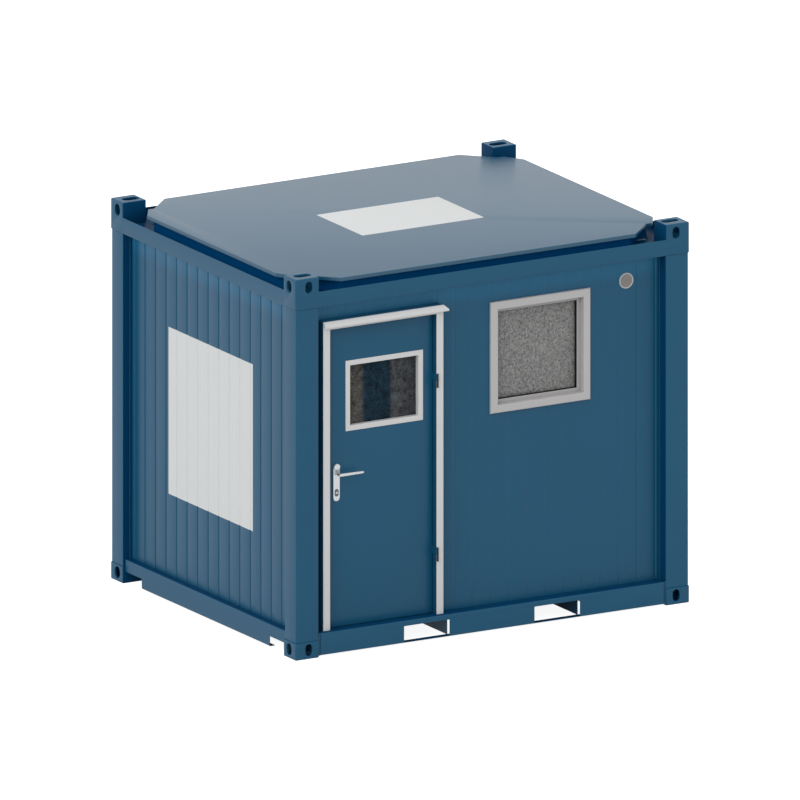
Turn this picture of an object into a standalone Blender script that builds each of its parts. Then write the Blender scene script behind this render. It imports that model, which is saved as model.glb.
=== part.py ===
"""Ten-foot sanitary module: steel frame, sandwich walls, entrance door, tilt window and two cubicles.

Metres, +Z up. Sizes are measured from the front left bottom corner: x to the right, y to the back.
"""

import math

import bmesh
import bpy
from mathutils import Euler, Matrix, Vector

# Overall size and the gap kept between neighbouring solids
LENGTH = 2.989
WIDTH = 2.435
HEIGHT = 2.591
GAP = 0.0003

# Corner castings and the steps between frame faces
CASTING_X = 0.178
CASTING_Y = 0.162
CASTING_Z = 0.118
CASTING_WALL = 0.014
CASTING_HOLE_H = 0.080
CASTING_HOLE_FRONT_W = 0.052
CASTING_HOLE_END_W = 0.064
CASTING_HOLE_FROM_END = 0.101
CASTING_HOLE_FROM_FACE = 0.089
CASTING_HOLE_RISE = 0.062
CASTING_SLOT_X = 0.124
CASTING_SLOT_Y = 0.063
FACE_STEP = 0.005
EDGE_ROUND = 0.006

# Frame sections
STEEL = 0.004
FLOOR_RAIL_LOW = 0.012
FLOOR_RAIL_TOP = 0.165
FLOOR_BOTTOM_FLANGE = 0.050
END_RAIL_SET_BACK = 0.019
END_RAIL_FLANGE = 0.040
END_RAIL_NOTCH_LENGTH = 0.215
END_RAIL_NOTCH_TOP = 0.081
CASTING_RISE = 0.101
ROOF_RAIL_DEPTH = 0.110
ROOF_RAIL_TOP = HEIGHT - CASTING_RISE
ROOF_RAIL_LOW = ROOF_RAIL_TOP - ROOF_RAIL_DEPTH
GUTTER_DEPTH = 0.051
GUTTER_FLOOR = ROOF_RAIL_TOP - GUTTER_DEPTH
GUTTER_PLATE = 0.245
END_GUTTER_PLATE = CASTING_X - STEEL - GAP
POST_SIDE_FACE = 0.155
POST_FLANGE = 0.0085
POST_RETURN = 0.015

# Walls
FRONT_PANEL_Y = 0.094
SIDE_PANEL_X = 0.070
PANEL_THICK = 0.060
GROOVE_PITCH = 0.1384
GROOVE_WIDTH = 0.016
GROOVE_FLOOR = 0.006
GROOVE_DEPTH = 0.007
FRONT_GROOVE_AT = 1.260
SIDE_GROOVE_AT = 1.273
INNER_X = SIDE_PANEL_X + PANEL_THICK
INNER_Y = FRONT_PANEL_Y + PANEL_THICK

# Fork pockets and underfloor
POCKET_WIDTH = 0.346
POCKET_FROM_MIDDLE = 0.495
POCKET_TOP = 0.126
POCKET_LOW = 0.017
POCKET_PLATE_START = 0.045
JOIST_WIDTH = 0.050
JOIST_LOW = 0.030
JOIST_SHARES = (-0.38474, -0.28438, 0.0, 0.28438, 0.38474)
SHEET = 0.002

# Roof cover and ceiling
ROOF_COVER_RISE = 0.057
ROOF_TOP = ROOF_RAIL_TOP + ROOF_COVER_RISE
ROOF_LIP = 0.024
ROOF_EDGE_X = 0.062
ROOF_EDGE_Y = 0.0545
ROOF_CUT_X = 0.376
ROOF_CUT_MID_X = 0.190
ROOF_CUT_STEP_X = 0.145
ROOF_CUT_MID_Y = 0.2405
ROOF_CUT_Y = 0.372
ROOF_UPSTAND_INSET = 0.040
ROOF_UPSTAND_WIDTH = 0.030
ROOF_SHEET = 0.004
CEILING_THICK = 0.050
CEILING_EDGE = 0.110

# Entrance door
DOOR_FRAME_LEFT = 0.227
DOOR_FRAME_RIGHT = 1.139
DOOR_HEAD_DROP = 0.1125
DOOR_FRAME_HEAD = ROOF_RAIL_LOW - DOOR_HEAD_DROP
DOOR_FRAME_FACE = 0.052
DOOR_HEAD_FACE = 0.0565
DOOR_FRAME_FRONT = 0.030
DOOR_SILL = 0.0047
DOOR_STOP = 0.014
DOOR_STOP_DEPTH = 0.016
STRIKE_DEPTH = 0.022
LEAF_FRONT = 0.080
LEAF_THICK = 0.040
HINGE_SIDE_CLEARANCE = 0.003
LATCH_SIDE_CLEARANCE = 0.0065
LEAF_TOP_CLEARANCE = 0.004
LEAF_FLOOR_CLEARANCE = 0.003
DRIP_LEFT = 0.227
DRIP_RIGHT = 1.168
DRIP_FALL = 0.0265
DRIP_FRONT = 0.003
DRIP_LIP = 0.013
DRIP_SHEET = 0.002
DRIP_FLANGE = 0.018

# Door hinges
HINGE_AXIS_X = 1.090
HINGE_AXIS_Y = 0.022
HINGE_RADIUS = 0.007
HINGE_PIN_RADIUS = 0.004
HINGE_HEIGHT = 0.094
HINGE_LOW_CENTRE = 0.576
HINGE_BELOW_HEAD = 0.5095
HINGE_HIGH_CENTRE = DOOR_FRAME_HEAD - HINGE_BELOW_HEAD
HINGE_PLATE = 0.003
HINGE_LEAF_REACH = 0.025

# Door glazing
DOOR_GLASS_LEFT = 0.423
DOOR_GLASS_RIGHT = 1.011
DOOR_GLASS_BELOW_HEAD = 0.2985
DOOR_GLASS_HEIGHT = 0.479
DOOR_GLASS_HIGH = DOOR_FRAME_HEAD - DOOR_GLASS_BELOW_HEAD
DOOR_GLASS_LOW = DOOR_GLASS_HIGH - DOOR_GLASS_HEIGHT
DOOR_GLASS_BAR = 0.035
DOOR_GLASS_PROUD = 0.004
DOOR_GLASS_SLEEVE = 0.015
DOOR_GLASS_REBATE = 0.007
DOOR_GLASS_RECESS = 0.032
DOOR_PANE = 0.006

# Door lock and handles
HANDLE_X = 0.352
SPINDLE_Z = 1.213
CYLINDER_Z = 1.083
PLATE_WIDTH = 0.050
PLATE_LOW = 1.025
PLATE_HIGH = 1.281
PLATE_THICK = 0.008
NECK_RADIUS = 0.010
LEVER_TIP_X = 0.530
LEVER_FRONT = 0.016
LEVER_THICK = 0.016
LEVER_ROOT_HEIGHT = 0.022
LEVER_TIP_HEIGHT = 0.017
SPINDLE_SIDE = 0.008
LOCK_DEPTH = 0.104
LOCK_THICK = 0.016
LOCK_LOW = 1.030
LOCK_HIGH = 1.270
LATCH_HEIGHT = 0.030
LATCH_THICK = 0.009
LATCH_OUT = 0.0115
LATCH_TRAVEL = 0.012
DEADBOLT_HEIGHT = 0.034
BOLT_LENGTH = 0.034
CYLINDER_RADIUS = 0.0085
CYLINDER_PROUD = 0.003
PLUG_RADIUS = 0.006

# Tilt window
WINDOW_SIDE = 0.758
WINDOW_SHARE = 0.6373369
WINDOW_BELOW_RAIL = 0.163
WINDOW_LEFT = LENGTH * WINDOW_SHARE - WINDOW_SIDE / 2
WINDOW_RIGHT = WINDOW_LEFT + WINDOW_SIDE
WINDOW_HIGH = ROOF_RAIL_LOW - WINDOW_BELOW_RAIL
WINDOW_LOW = WINDOW_HIGH - WINDOW_SIDE
WINDOW_FRONT = 0.075
WINDOW_BACK = 0.158
WINDOW_BAR = 0.054
SASH_RECESS = 0.0435
SASH_BAR = 0.027
SASH_OVERLAP = 0.012
SASH_THICK = 0.053
SASH_SWING_GAP = 0.0035
SASH_LOW_GAP = 0.0005
WINDOW_PANE = 0.020
WINDOW_PANE_SET = 0.028
WINDOW_PANE_BITE = 0.012

# Vent and fan
VENT_FROM_RIGHT = 0.426
VENT_BELOW_RAIL = 0.154
VENT_X = LENGTH - VENT_FROM_RIGHT
VENT_Z = ROOF_RAIL_LOW - VENT_BELOW_RAIL
VENT_RADIUS = 0.054
VENT_RIM = 0.010
VENT_PROUD = 0.006
DUCT_RADIUS = 0.050
DUCT_WALL = 0.003
DUCT_REACH = 0.025
VENT_BARS = 6
VENT_BAR = 0.0024
FAN_SIDE = 0.160
FAN_DEPTH = 0.046
FAN_HUB_RADIUS = 0.016
FAN_BLADES = 7
FAN_SHAFT_RADIUS = 0.003
FAN_BLADE_PITCH = 55.0
FAN_BLADE_SHARE = 0.7

# Cubicles
PARTITION_SHARE = 0.4550017
PARTITION_X = LENGTH * PARTITION_SHARE
PARTITION_THICK = 0.030
DIVIDER_SET_BACK = 0.0175
DIVIDER_Y = WIDTH / 2 + DIVIDER_SET_BACK
CUBICLE_DOOR_WIDTH = 0.650
CUBICLE_HEAD = 0.230
CUBICLE_DOOR_TOP = ROOF_RAIL_LOW - CUBICLE_HEAD
WC_DOOR_MARGIN = 0.135
SHOWER_DOOR_MARGIN = 0.165
WC_DOOR_FAR = DIVIDER_Y - WC_DOOR_MARGIN
SHOWER_DOOR_NEAR = DIVIDER_Y + SHOWER_DOOR_MARGIN
CUBICLE_FLOOR_GAP = 0.020
CUBICLE_EDGE_GAP = 0.0005
CUBICLE_FREE_GAP = 0.003
CUBICLE_KNUCKLE_RADIUS = 0.006
CUBICLE_KNUCKLE_HEIGHT = 0.080
CUBICLE_KNUCKLE_INSET = 0.250

# Toilet
TOILET_FROM_DIVIDER = 0.575
TOILET_HINGE_FROM_RIGHT = 0.399
TOILET_Y = DIVIDER_Y - TOILET_FROM_DIVIDER
TOILET_HINGE_X = LENGTH - TOILET_HINGE_FROM_RIGHT
TOILET_RIM_Z = 0.565
TOILET_LENGTH = 0.440
TOILET_HALF_WIDTH = 0.180
TOILET_WALL = 0.040
TOILET_FOOT = 0.72
TOILET_EGG = 0.08
TOILET_POINTS = 20
PAN_FOOT_BACK = 0.050
PAN_WAIST = 0.66
PAN_WAIST_RISE = 0.160
PAN_BELLY = 0.91
PAN_BELLY_DROP = 0.120
PAN_BELLY_BACK = 0.010
PAN_RIM_BAND = 0.030
PAN_BOWL_WALL = 1.2
PAN_BOWL_DROP = 0.100
PAN_OUTLET = 0.35
PAN_OUTLET_DROP = 0.220
PAN_OUTLET_BACK = 0.020
PAN_FOOT_BLOCK = 0.55
SEAT_SIDE = 0.060
SEAT_END = 0.070
SEAT_HOLE_FORWARD = 0.010
SEAT_HINGE_RADIUS = 0.009
SEAT_HINGE_CLEAR = 0.026
SEAT_LUG_OUTER = 0.085
SEAT_LUG_INNER = 0.060
LID_LUG_INNER = 0.036
HINGE_POST_INNER = 0.014
SEAT_THICK = 0.018
LID_THICK = 0.015
LID_LEAN_DEG = 100.0
CISTERN_FROM_RIGHT = 0.297
CISTERN_FRONT_X = LENGTH - CISTERN_FROM_RIGHT
CISTERN_HALF_WIDTH = 0.190
CISTERN_LOW = 0.600
CISTERN_HIGH = 0.980
BUTTON_RADIUS = 0.020
BUTTON_DEPTH = 0.012
BUTTON_PROUD = 0.008

# Washbasin and tap
BASIN_Y = 1.600
BASIN_HALF_WIDTH = 0.275
BASIN_REACH = 0.430
BASIN_LOW = 0.870
BASIN_TOP = 1.015
BASIN_DECK = 0.110
BASIN_RIM = 0.030
BASIN_BOWL_DEPTH = 0.110
BASIN_BOWL_POINTS = 19
BASIN_BOWL_SHAPE = ((0.96, 0.050), (0.75, 0.090))
BASIN_OUTLET = 0.35
TAP_RADIUS = 0.022
TAP_HEIGHT = 0.110
SPOUT_REACH = 0.115
SPOUT_HEIGHT = 0.024
TAP_LEVER_LENGTH = 0.085

# Shower
TRAY_SIDE_X = 0.900
TRAY_FROM_DIVIDER = 0.1157
TRAY_SIDE_Y = WIDTH - INNER_Y - GAP - DIVIDER_Y - PARTITION_THICK - TRAY_FROM_DIVIDER
TRAY_HEIGHT = 0.140
TRAY_RIM = 0.045
TRAY_DISH = 0.080
MIXER_FROM_REAR = 0.605
MIXER_Y = WIDTH - MIXER_FROM_REAR
MIXER_Z = 1.250
MIXER_HALF = 0.090
MIXER_RADIUS = 0.022
MIXER_STAND_OFF = 0.055
MIXER_FEED_SHARE = 0.7
RISER_TOP = ROOF_RAIL_LOW - CUBICLE_HEAD
RISER_RADIUS = 0.010
SHOWER_HEAD_RADIUS = 0.090
SHOWER_HEAD_REACH = 0.300
MIXER_LEVER_LENGTH = 0.080

# Water heater
HEATER_X = 0.420
HEATER_RADIUS = 0.200
HEATER_HEIGHT = 0.640
HEATER_BELOW_RAIL = 0.240
HEATER_LOW = ROOF_RAIL_LOW - HEATER_BELOW_RAIL - HEATER_HEIGHT
HEATER_WALL_GAP = 0.030

SEGMENTS = 16

for old in list(bpy.data.objects):
    bpy.data.objects.remove(old)


# Materials and the datum corner
def paint(name, colour, roughness, metallic=0.0, alpha=1.0):
    """One Principled material: linear colour, roughness, metallic value and alpha."""
    material = bpy.data.materials.new(name)
    material.use_nodes = True
    shader = material.node_tree.nodes["Principled BSDF"]
    shader.inputs["Base Color"].default_value = (*colour, 1.0)
    shader.inputs["Roughness"].default_value = roughness
    shader.inputs["Metallic"].default_value = metallic
    shader.inputs["Alpha"].default_value = alpha
    return material


BLUE = paint("blue_paint", (0.012, 0.075, 0.150), 0.45)
ROOF_BLUE = paint("roof_coating", (0.020, 0.085, 0.150), 0.40)
LIGHT_GREY = paint("light_grey_profile", (0.50, 0.50, 0.49), 0.35)
WINDOW_WHITE = paint("window_profile", (0.60, 0.60, 0.60), 0.30)
STEEL_GREY = paint("satin_steel", (0.55, 0.56, 0.57), 0.35, 1.0)
DARK_GLASS = paint("obscured_glass", (0.10, 0.10, 0.10), 0.25, 0.0, 0.6)
LINING = paint("white_lining", (0.72, 0.72, 0.70), 0.50)
FLOORING = paint("floor_covering", (0.20, 0.21, 0.22), 0.60)
GALVANISED = paint("galvanised_sheet", (0.40, 0.41, 0.42), 0.50, 0.8)
CERAMIC = paint("ceramic", (0.82, 0.82, 0.80), 0.10)
CHROME = paint("chrome", (0.75, 0.75, 0.76), 0.10, 1.0)
PLASTIC = paint("white_plastic", (0.70, 0.70, 0.68), 0.40)

corner = bpy.data.objects.new("front_left_corner", None)
corner.location = (-LENGTH / 2, -WIDTH / 2, 0.0)
bpy.context.collection.objects.link(corner)


# Shapes
def closed_mesh(name, points, faces):
    """A mesh from points and faces, with every face turned outwards."""
    mesh = bpy.data.meshes.new(name)
    mesh.from_pydata(points, [], faces)
    work = bmesh.new()
    work.from_mesh(mesh)
    bmesh.ops.recalc_face_normals(work, faces=work.faces)
    work.to_mesh(mesh)
    work.free()
    return mesh


def placed(name, mesh, material, origin=(0.0, 0.0, 0.0)):
    """An object of the mesh, whose own origin stands at the given point of the module."""
    mesh.transform(Matrix.Translation(-Vector(origin)))
    thing = bpy.data.objects.new(name, mesh)
    thing.parent = corner
    thing.location = origin
    mesh.materials.append(material)
    bpy.context.collection.objects.link(thing)
    return thing


def lift(axis, flat, along):
    """The 3-D point of a flat outline point, at a distance along the extrusion axis."""
    a, b = flat
    return {"x": (along, a, b), "y": (a, along, b), "z": (a, b, along)}[axis]


def prism_mesh(name, outline, axis, start, end):
    """An outline in the plane across the axis, extruded from start to end."""
    count = len(outline)
    points = [lift(axis, flat, start) for flat in outline]
    points += [lift(axis, flat, end) for flat in outline]
    sides = [(i, (i + 1) % count, (i + 1) % count + count, i + count) for i in range(count)]
    caps = [tuple(range(count)), tuple(range(count, 2 * count))]
    return closed_mesh(name, points, sides + caps)


def prism(name, outline, axis, start, end, material, origin=(0.0, 0.0, 0.0)):
    return placed(name, prism_mesh(name, outline, axis, start, end), material, origin)


def rectangle(a0, b0, a1, b1):
    return [(a0, b0), (a1, b0), (a1, b1), (a0, b1)]


def block(name, low, high, material, origin=(0.0, 0.0, 0.0)):
    """A box between two corners."""
    outline = rectangle(low[0], low[1], high[0], high[1])
    return prism(name, outline, "z", low[2], high[2], material, origin)


def arc(centre, radius_a, radius_b, from_deg, to_deg, steps):
    """Points of an elliptical arc, both ends included."""
    angles = [math.radians(from_deg + (to_deg - from_deg) * i / steps) for i in range(steps + 1)]
    return [(centre[0] + radius_a * math.cos(t), centre[1] + radius_b * math.sin(t)) for t in angles]


def circle(centre, radius, count=SEGMENTS):
    return arc(centre, radius, radius, 0.0, 360.0 * (count - 1) / count, count - 1)


def oval(centre, width, height, steps=6):
    """A slot outline with full-round ends, longer along its second axis."""
    radius = width / 2
    rise = height / 2 - radius
    top = arc((centre[0], centre[1] + rise), radius, radius, 0.0, 180.0, steps)
    bottom = arc((centre[0], centre[1] - rise), radius, radius, 180.0, 360.0, steps)
    return top + bottom


def rod(name, axis, centre, radius, start, end, material, count=SEGMENTS, origin=(0.0, 0.0, 0.0)):
    return prism(name, circle(centre, radius, count), axis, start, end, material, origin)


def combine(target, tools, operation):
    """Adds or cuts helper solids, which stay in the file as wire guides."""
    for tool in tools:
        tool.hide_render = True
        tool.display_type = "WIRE"
        step = target.modifiers.new(operation.lower(), "BOOLEAN")
        step.operation = operation
        step.solver = "EXACT"
        step.object = tool
    return target


def cut(target, *tools):
    return combine(target, tools, "DIFFERENCE")


def weld(target, *tools):
    return combine(target, tools, "UNION")


def guide_block(low, high):
    return block("guide", low, high, GALVANISED)


def guide_prism(outline, axis, start, end):
    return prism("guide", outline, axis, start, end, GALVANISED)


def mirror_x(x, mirrored):
    """An x measured from the left end, or from the right end when mirrored."""
    return LENGTH - x if mirrored else x


def mirror_y(y, mirrored):
    """A y measured from the front face, or from the rear face when mirrored."""
    return WIDTH - y if mirrored else y


def span_block(x_pair, y_pair, z_pair, right=False, rear=False):
    """A guide box given by distances from one end and one face of the module."""
    xs = sorted(mirror_x(x, right) for x in x_pair)
    ys = sorted(mirror_y(y, rear) for y in y_pair)
    return guide_block((xs[0], ys[0], z_pair[0]), (xs[1], ys[1], z_pair[1]))


# Corner posts
def post(name, right, rear):
    """A folded steel post between the castings, open to the inside, its flanges closing on the walls."""
    flange_y = FRONT_PANEL_Y - POST_RETURN
    flange_x = SIDE_PANEL_X - POST_RETURN
    outer = [
        (CASTING_X + POST_FLANGE, FRONT_PANEL_Y - GAP),
        (CASTING_X + POST_FLANGE, flange_y),
        (CASTING_X, flange_y),
        (CASTING_X, FACE_STEP),
        (FACE_STEP, FACE_STEP),
        (FACE_STEP, POST_SIDE_FACE),
        (flange_x, POST_SIDE_FACE),
        (flange_x, POST_SIDE_FACE + POST_FLANGE),
        (SIDE_PANEL_X - GAP, POST_SIDE_FACE + POST_FLANGE),
    ]
    inner = [
        (SIDE_PANEL_X - GAP, POST_SIDE_FACE + POST_FLANGE - STEEL),
        (flange_x + STEEL, POST_SIDE_FACE + POST_FLANGE - STEEL),
        (flange_x + STEEL, POST_SIDE_FACE - STEEL),
        (FACE_STEP + STEEL, POST_SIDE_FACE - STEEL),
        (FACE_STEP + STEEL, FACE_STEP + STEEL),
        (CASTING_X - STEEL, FACE_STEP + STEEL),
        (CASTING_X - STEEL, flange_y + STEEL),
        (CASTING_X + POST_FLANGE - STEEL, flange_y + STEEL),
        (CASTING_X + POST_FLANGE - STEEL, FRONT_PANEL_Y - GAP),
    ]
    outline = [(mirror_x(x, right), mirror_y(y, rear)) for x, y in outer + inner]
    return prism(name, outline, "z", CASTING_Z + GAP, ROOF_RAIL_LOW - GAP, BLUE)


post("corner_post_front_left", False, False)
post("corner_post_front_right", True, False)
post("corner_post_rear_left", False, True)
post("corner_post_rear_right", True, True)


# Castings, which are welded to the front and rear rails of each frame
def casting_tools(low, high, hole_z, slot_z, right, rear):
    """The cavity of one casting and its front, end and top or bottom apertures, as guides."""
    wall = CASTING_WALL
    cavity = span_block(
        (wall, CASTING_X - wall), (wall, CASTING_Y - wall), (low + wall, high - wall), right, rear
    )
    front_x = mirror_x(CASTING_HOLE_FROM_END, right)
    front_ys = sorted(mirror_y(y, rear) for y in (-wall, 2 * wall))
    front = guide_prism(oval((front_x, hole_z), CASTING_HOLE_FRONT_W, CASTING_HOLE_H), "y", *front_ys)
    end_y = mirror_y(CASTING_HOLE_FROM_FACE, rear)
    end_xs = sorted(mirror_x(x, right) for x in (-wall, 2 * wall))
    end = guide_prism(oval((end_y, hole_z), CASTING_HOLE_END_W, CASTING_HOLE_H), "x", *end_xs)
    slot_y = mirror_y(CASTING_HOLE_FROM_FACE, rear)
    slot_x = mirror_x(CASTING_HOLE_FROM_END, right)
    turned = [(slot_x + b, slot_y + a) for a, b in oval((0.0, 0.0), CASTING_SLOT_Y, CASTING_SLOT_X)]
    slot = guide_prism(turned, "z", slot_z - 2 * wall, slot_z + 2 * wall)
    return [cavity, front, end, slot]


def casting_body(low, high, right, rear):
    """The solid block of one casting, its outer upright edge rounded."""
    arc_points = arc((EDGE_ROUND, EDGE_ROUND), EDGE_ROUND, EDGE_ROUND, 180.0, 270.0, 3)
    flat = arc_points + [(CASTING_X, 0.0), (CASTING_X, CASTING_Y), (0.0, CASTING_Y)]
    outline = [(mirror_x(x, right), mirror_y(y, rear)) for x, y in flat]
    return guide_prism(outline, "z", low, high)


def floor_rail(name, rear):
    """Front or rear floor rail: a folded channel with the fork openings and two corner castings."""
    web_end = CASTING_X + GAP
    low_end = CASTING_X - STEEL
    web = [
        (low_end, FLOOR_RAIL_LOW),
        (LENGTH - low_end, FLOOR_RAIL_LOW),
        (LENGTH - low_end, CASTING_Z - GAP),
        (LENGTH - web_end, CASTING_Z - GAP),
        (LENGTH - web_end, FLOOR_RAIL_TOP),
        (web_end, FLOOR_RAIL_TOP),
        (web_end, CASTING_Z - GAP),
        (low_end, CASTING_Z - GAP),
    ]
    ys = sorted(mirror_y(y, rear) for y in (FACE_STEP, FACE_STEP + STEEL))
    rail = prism(name, web, "y", ys[0], ys[1], BLUE)
    flange_end = CASTING_X + POST_FLANGE + GAP
    top = span_block(
        (flange_end, LENGTH - flange_end), (FACE_STEP, INNER_Y + FACE_STEP),
        (FLOOR_RAIL_TOP - STEEL, FLOOR_RAIL_TOP), False, rear,
    )
    bottom = span_block(
        (low_end, LENGTH - low_end), (FACE_STEP, FACE_STEP + FLOOR_BOTTOM_FLANGE),
        (FLOOR_RAIL_LOW, FLOOR_RAIL_LOW + STEEL), False, rear,
    )
    weld(rail, top, bottom)
    for right in (False, True):
        weld(rail, casting_body(0.0, CASTING_Z, right, rear))
    for right in (False, True):
        cut(rail, *casting_tools(0.0, CASTING_Z, CASTING_HOLE_RISE, 0.0, right, rear))
    for side in (-1, 1):
        middle = LENGTH / 2 + side * POCKET_FROM_MIDDLE
        cut(rail, span_block(
            (middle - POCKET_WIDTH / 2, middle + POCKET_WIDTH / 2), (-STEEL, 3 * STEEL),
            (POCKET_LOW, POCKET_TOP), False, rear,
        ))
    return rail


def roof_rail(name, rear):
    """Front or rear roof rail: web, gutter plate and lower flange between two raised corner pieces."""
    end = CASTING_X - STEEL
    rail = prism(
        name, rectangle(end, ROOF_RAIL_LOW, LENGTH - end, ROOF_RAIL_TOP), "y",
        *sorted(mirror_y(y, rear) for y in (0.0, STEEL)), BLUE,
    )
    top = span_block(
        (end, LENGTH - end), (0.0, GUTTER_PLATE), (GUTTER_FLOOR - STEEL, GUTTER_FLOOR), False, rear
    )
    bottom = span_block(
        (end, LENGTH - end), (0.0, INNER_Y + STEEL), (ROOF_RAIL_LOW, ROOF_RAIL_LOW + STEEL), False, rear
    )
    weld(rail, top, bottom)
    for right in (False, True):
        weld(rail, casting_body(ROOF_RAIL_LOW, HEIGHT, right, rear))
    for right in (False, True):
        hole_z = HEIGHT - CASTING_HOLE_RISE
        cut(rail, *casting_tools(HEIGHT - CASTING_Z, HEIGHT, hole_z, HEIGHT, right, rear))
    return rail


floor_rail("floor_rail_front", False)
floor_rail("floor_rail_rear", True)
roof_rail("roof_rail_front", False)
roof_rail("roof_rail_rear", True)


# End rails of the floor and roof frames
def end_floor_rail(name, right):
    """Left or right floor rail: a channel set back from the castings, its lower ends notched."""
    near = CASTING_Y + GAP
    upper = POST_SIDE_FACE + GAP
    notch = CASTING_Y + END_RAIL_NOTCH_LENGTH
    web = [
        (notch, FLOOR_RAIL_LOW), (WIDTH - notch, FLOOR_RAIL_LOW),
        (WIDTH - notch, END_RAIL_NOTCH_TOP), (WIDTH - near, END_RAIL_NOTCH_TOP),
        (WIDTH - near, CASTING_Z + GAP), (WIDTH - upper, CASTING_Z + GAP),
        (WIDTH - upper, FLOOR_RAIL_TOP), (upper, FLOOR_RAIL_TOP),
        (upper, CASTING_Z + GAP), (near, CASTING_Z + GAP),
        (near, END_RAIL_NOTCH_TOP), (notch, END_RAIL_NOTCH_TOP),
    ]
    back = END_RAIL_SET_BACK
    rail = prism(name, web, "x", *sorted(mirror_x(x, right) for x in (back, back + STEEL)), BLUE)
    flange_end = POST_SIDE_FACE + POST_FLANGE + GAP
    top = span_block(
        (back, INNER_X + FACE_STEP), (flange_end, WIDTH - flange_end),
        (FLOOR_RAIL_TOP - STEEL, FLOOR_RAIL_TOP), right,
    )
    bottom = span_block(
        (back, back + END_RAIL_FLANGE), (notch, WIDTH - notch),
        (FLOOR_RAIL_LOW, FLOOR_RAIL_LOW + STEEL), right,
    )
    return weld(rail, top, bottom)


def end_roof_rail(name, right):
    """Left or right roof rail: web, gutter plate and lower flange between the corner pieces."""
    near = CASTING_Y + GAP
    rail = prism(
        name, rectangle(near, ROOF_RAIL_LOW, WIDTH - near, ROOF_RAIL_TOP), "x",
        *sorted(mirror_x(x, right) for x in (0.0, STEEL)), BLUE,
    )
    top = span_block(
        (0.0, END_GUTTER_PLATE), (near, WIDTH - near), (GUTTER_FLOOR - STEEL, GUTTER_FLOOR), right
    )
    bottom = span_block(
        (0.0, INNER_X + FACE_STEP), (near, WIDTH - near), (ROOF_RAIL_LOW, ROOF_RAIL_LOW + STEEL), right
    )
    return weld(rail, top, bottom)


end_floor_rail("floor_rail_left", False)
end_floor_rail("floor_rail_right", True)
end_roof_rail("roof_rail_left", False)
end_roof_rail("roof_rail_right", True)


# Fork pockets, underfloor and floor deck
def fork_pocket(name, side):
    """An inverted channel through the floor frame, open at the bottom."""
    middle = LENGTH / 2 + side * POCKET_FROM_MIDDLE
    half = POCKET_WIDTH / 2
    low = FLOOR_RAIL_LOW + STEEL + GAP
    channel = [
        (middle - half - STEEL, low), (middle - half, low), (middle - half, POCKET_TOP),
        (middle + half, POCKET_TOP), (middle + half, low), (middle + half + STEEL, low),
        (middle + half + STEEL, POCKET_TOP + STEEL), (middle - half - STEEL, POCKET_TOP + STEEL),
    ]
    pocket = prism(name, channel, "y", POCKET_PLATE_START, WIDTH - POCKET_PLATE_START, GALVANISED)
    reach = FACE_STEP + STEEL + GAP
    lid = guide_block(
        (middle - half - STEEL, reach, POCKET_TOP),
        (middle + half + STEEL, WIDTH - reach, POCKET_TOP + STEEL),
    )
    return weld(pocket, lid)


fork_pocket("fork_pocket_left", -1)
fork_pocket("fork_pocket_right", 1)


def notched_rectangle(x0, y0, notch_x, notch_y):
    """A rectangle centred on the module, with a square notch at each corner."""
    x1 = LENGTH - x0
    y1 = WIDTH - y0
    return [
        (notch_x, y0), (LENGTH - notch_x, y0), (LENGTH - notch_x, notch_y), (x1, notch_y),
        (x1, WIDTH - notch_y), (LENGTH - notch_x, WIDTH - notch_y),
        (LENGTH - notch_x, y1), (notch_x, y1),
        (notch_x, WIDTH - notch_y), (x0, WIDTH - notch_y), (x0, notch_y), (notch_x, notch_y),
    ]


rail_web_inside = FACE_STEP + STEEL + GAP
tray_low = POCKET_TOP + STEEL + GAP
tray = prism(
    "underfloor_tray",
    notched_rectangle(
        END_RAIL_SET_BACK + STEEL + GAP, rail_web_inside,
        CASTING_X + POST_FLANGE + FACE_STEP, CASTING_Y + FACE_STEP,
    ),
    "z", tray_low, tray_low + SHEET, GALVANISED,
)
for share in JOIST_SHARES:
    joist_x = LENGTH / 2 + LENGTH * share
    weld(tray, guide_block(
        (joist_x - JOIST_WIDTH / 2, rail_web_inside, JOIST_LOW),
        (joist_x + JOIST_WIDTH / 2, WIDTH - rail_web_inside, tray_low + SHEET / 2),
    ))

deck_inset = FACE_STEP + GAP
block(
    "floor_deck",
    (INNER_X + deck_inset, INNER_Y + deck_inset, tray_low + SHEET + GAP),
    (LENGTH - INNER_X - deck_inset, WIDTH - INNER_Y - deck_inset, FLOOR_RAIL_TOP),
    FLOORING,
)

# Ceiling panel and roof cover
ceiling_low = ROOF_RAIL_LOW + STEEL + GAP
prism(
    "ceiling_panel",
    notched_rectangle(CEILING_EDGE, CEILING_EDGE, CASTING_X + GAP, CASTING_Y + GAP),
    "z", ceiling_low, ceiling_low + CEILING_THICK, LINING,
)


def roof_outline(inset):
    """The roof tray's outline, its corners cut back round the castings, drawn in by an inset."""
    quarter = [
        (ROOF_EDGE_X + inset, ROOF_CUT_Y + inset / 2),
        (ROOF_CUT_STEP_X + inset, ROOF_CUT_MID_Y + inset),
        (ROOF_CUT_MID_X + inset, ROOF_CUT_MID_Y + inset),
        (ROOF_CUT_X + inset / 2, ROOF_EDGE_Y + inset),
    ]
    front_right = [(LENGTH - x, y) for x, y in reversed(quarter)]
    rear_right = [(LENGTH - x, WIDTH - y) for x, y in quarter]
    rear_left = [(x, WIDTH - y) for x, y in reversed(quarter)]
    return quarter + front_right + rear_right + rear_left


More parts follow.
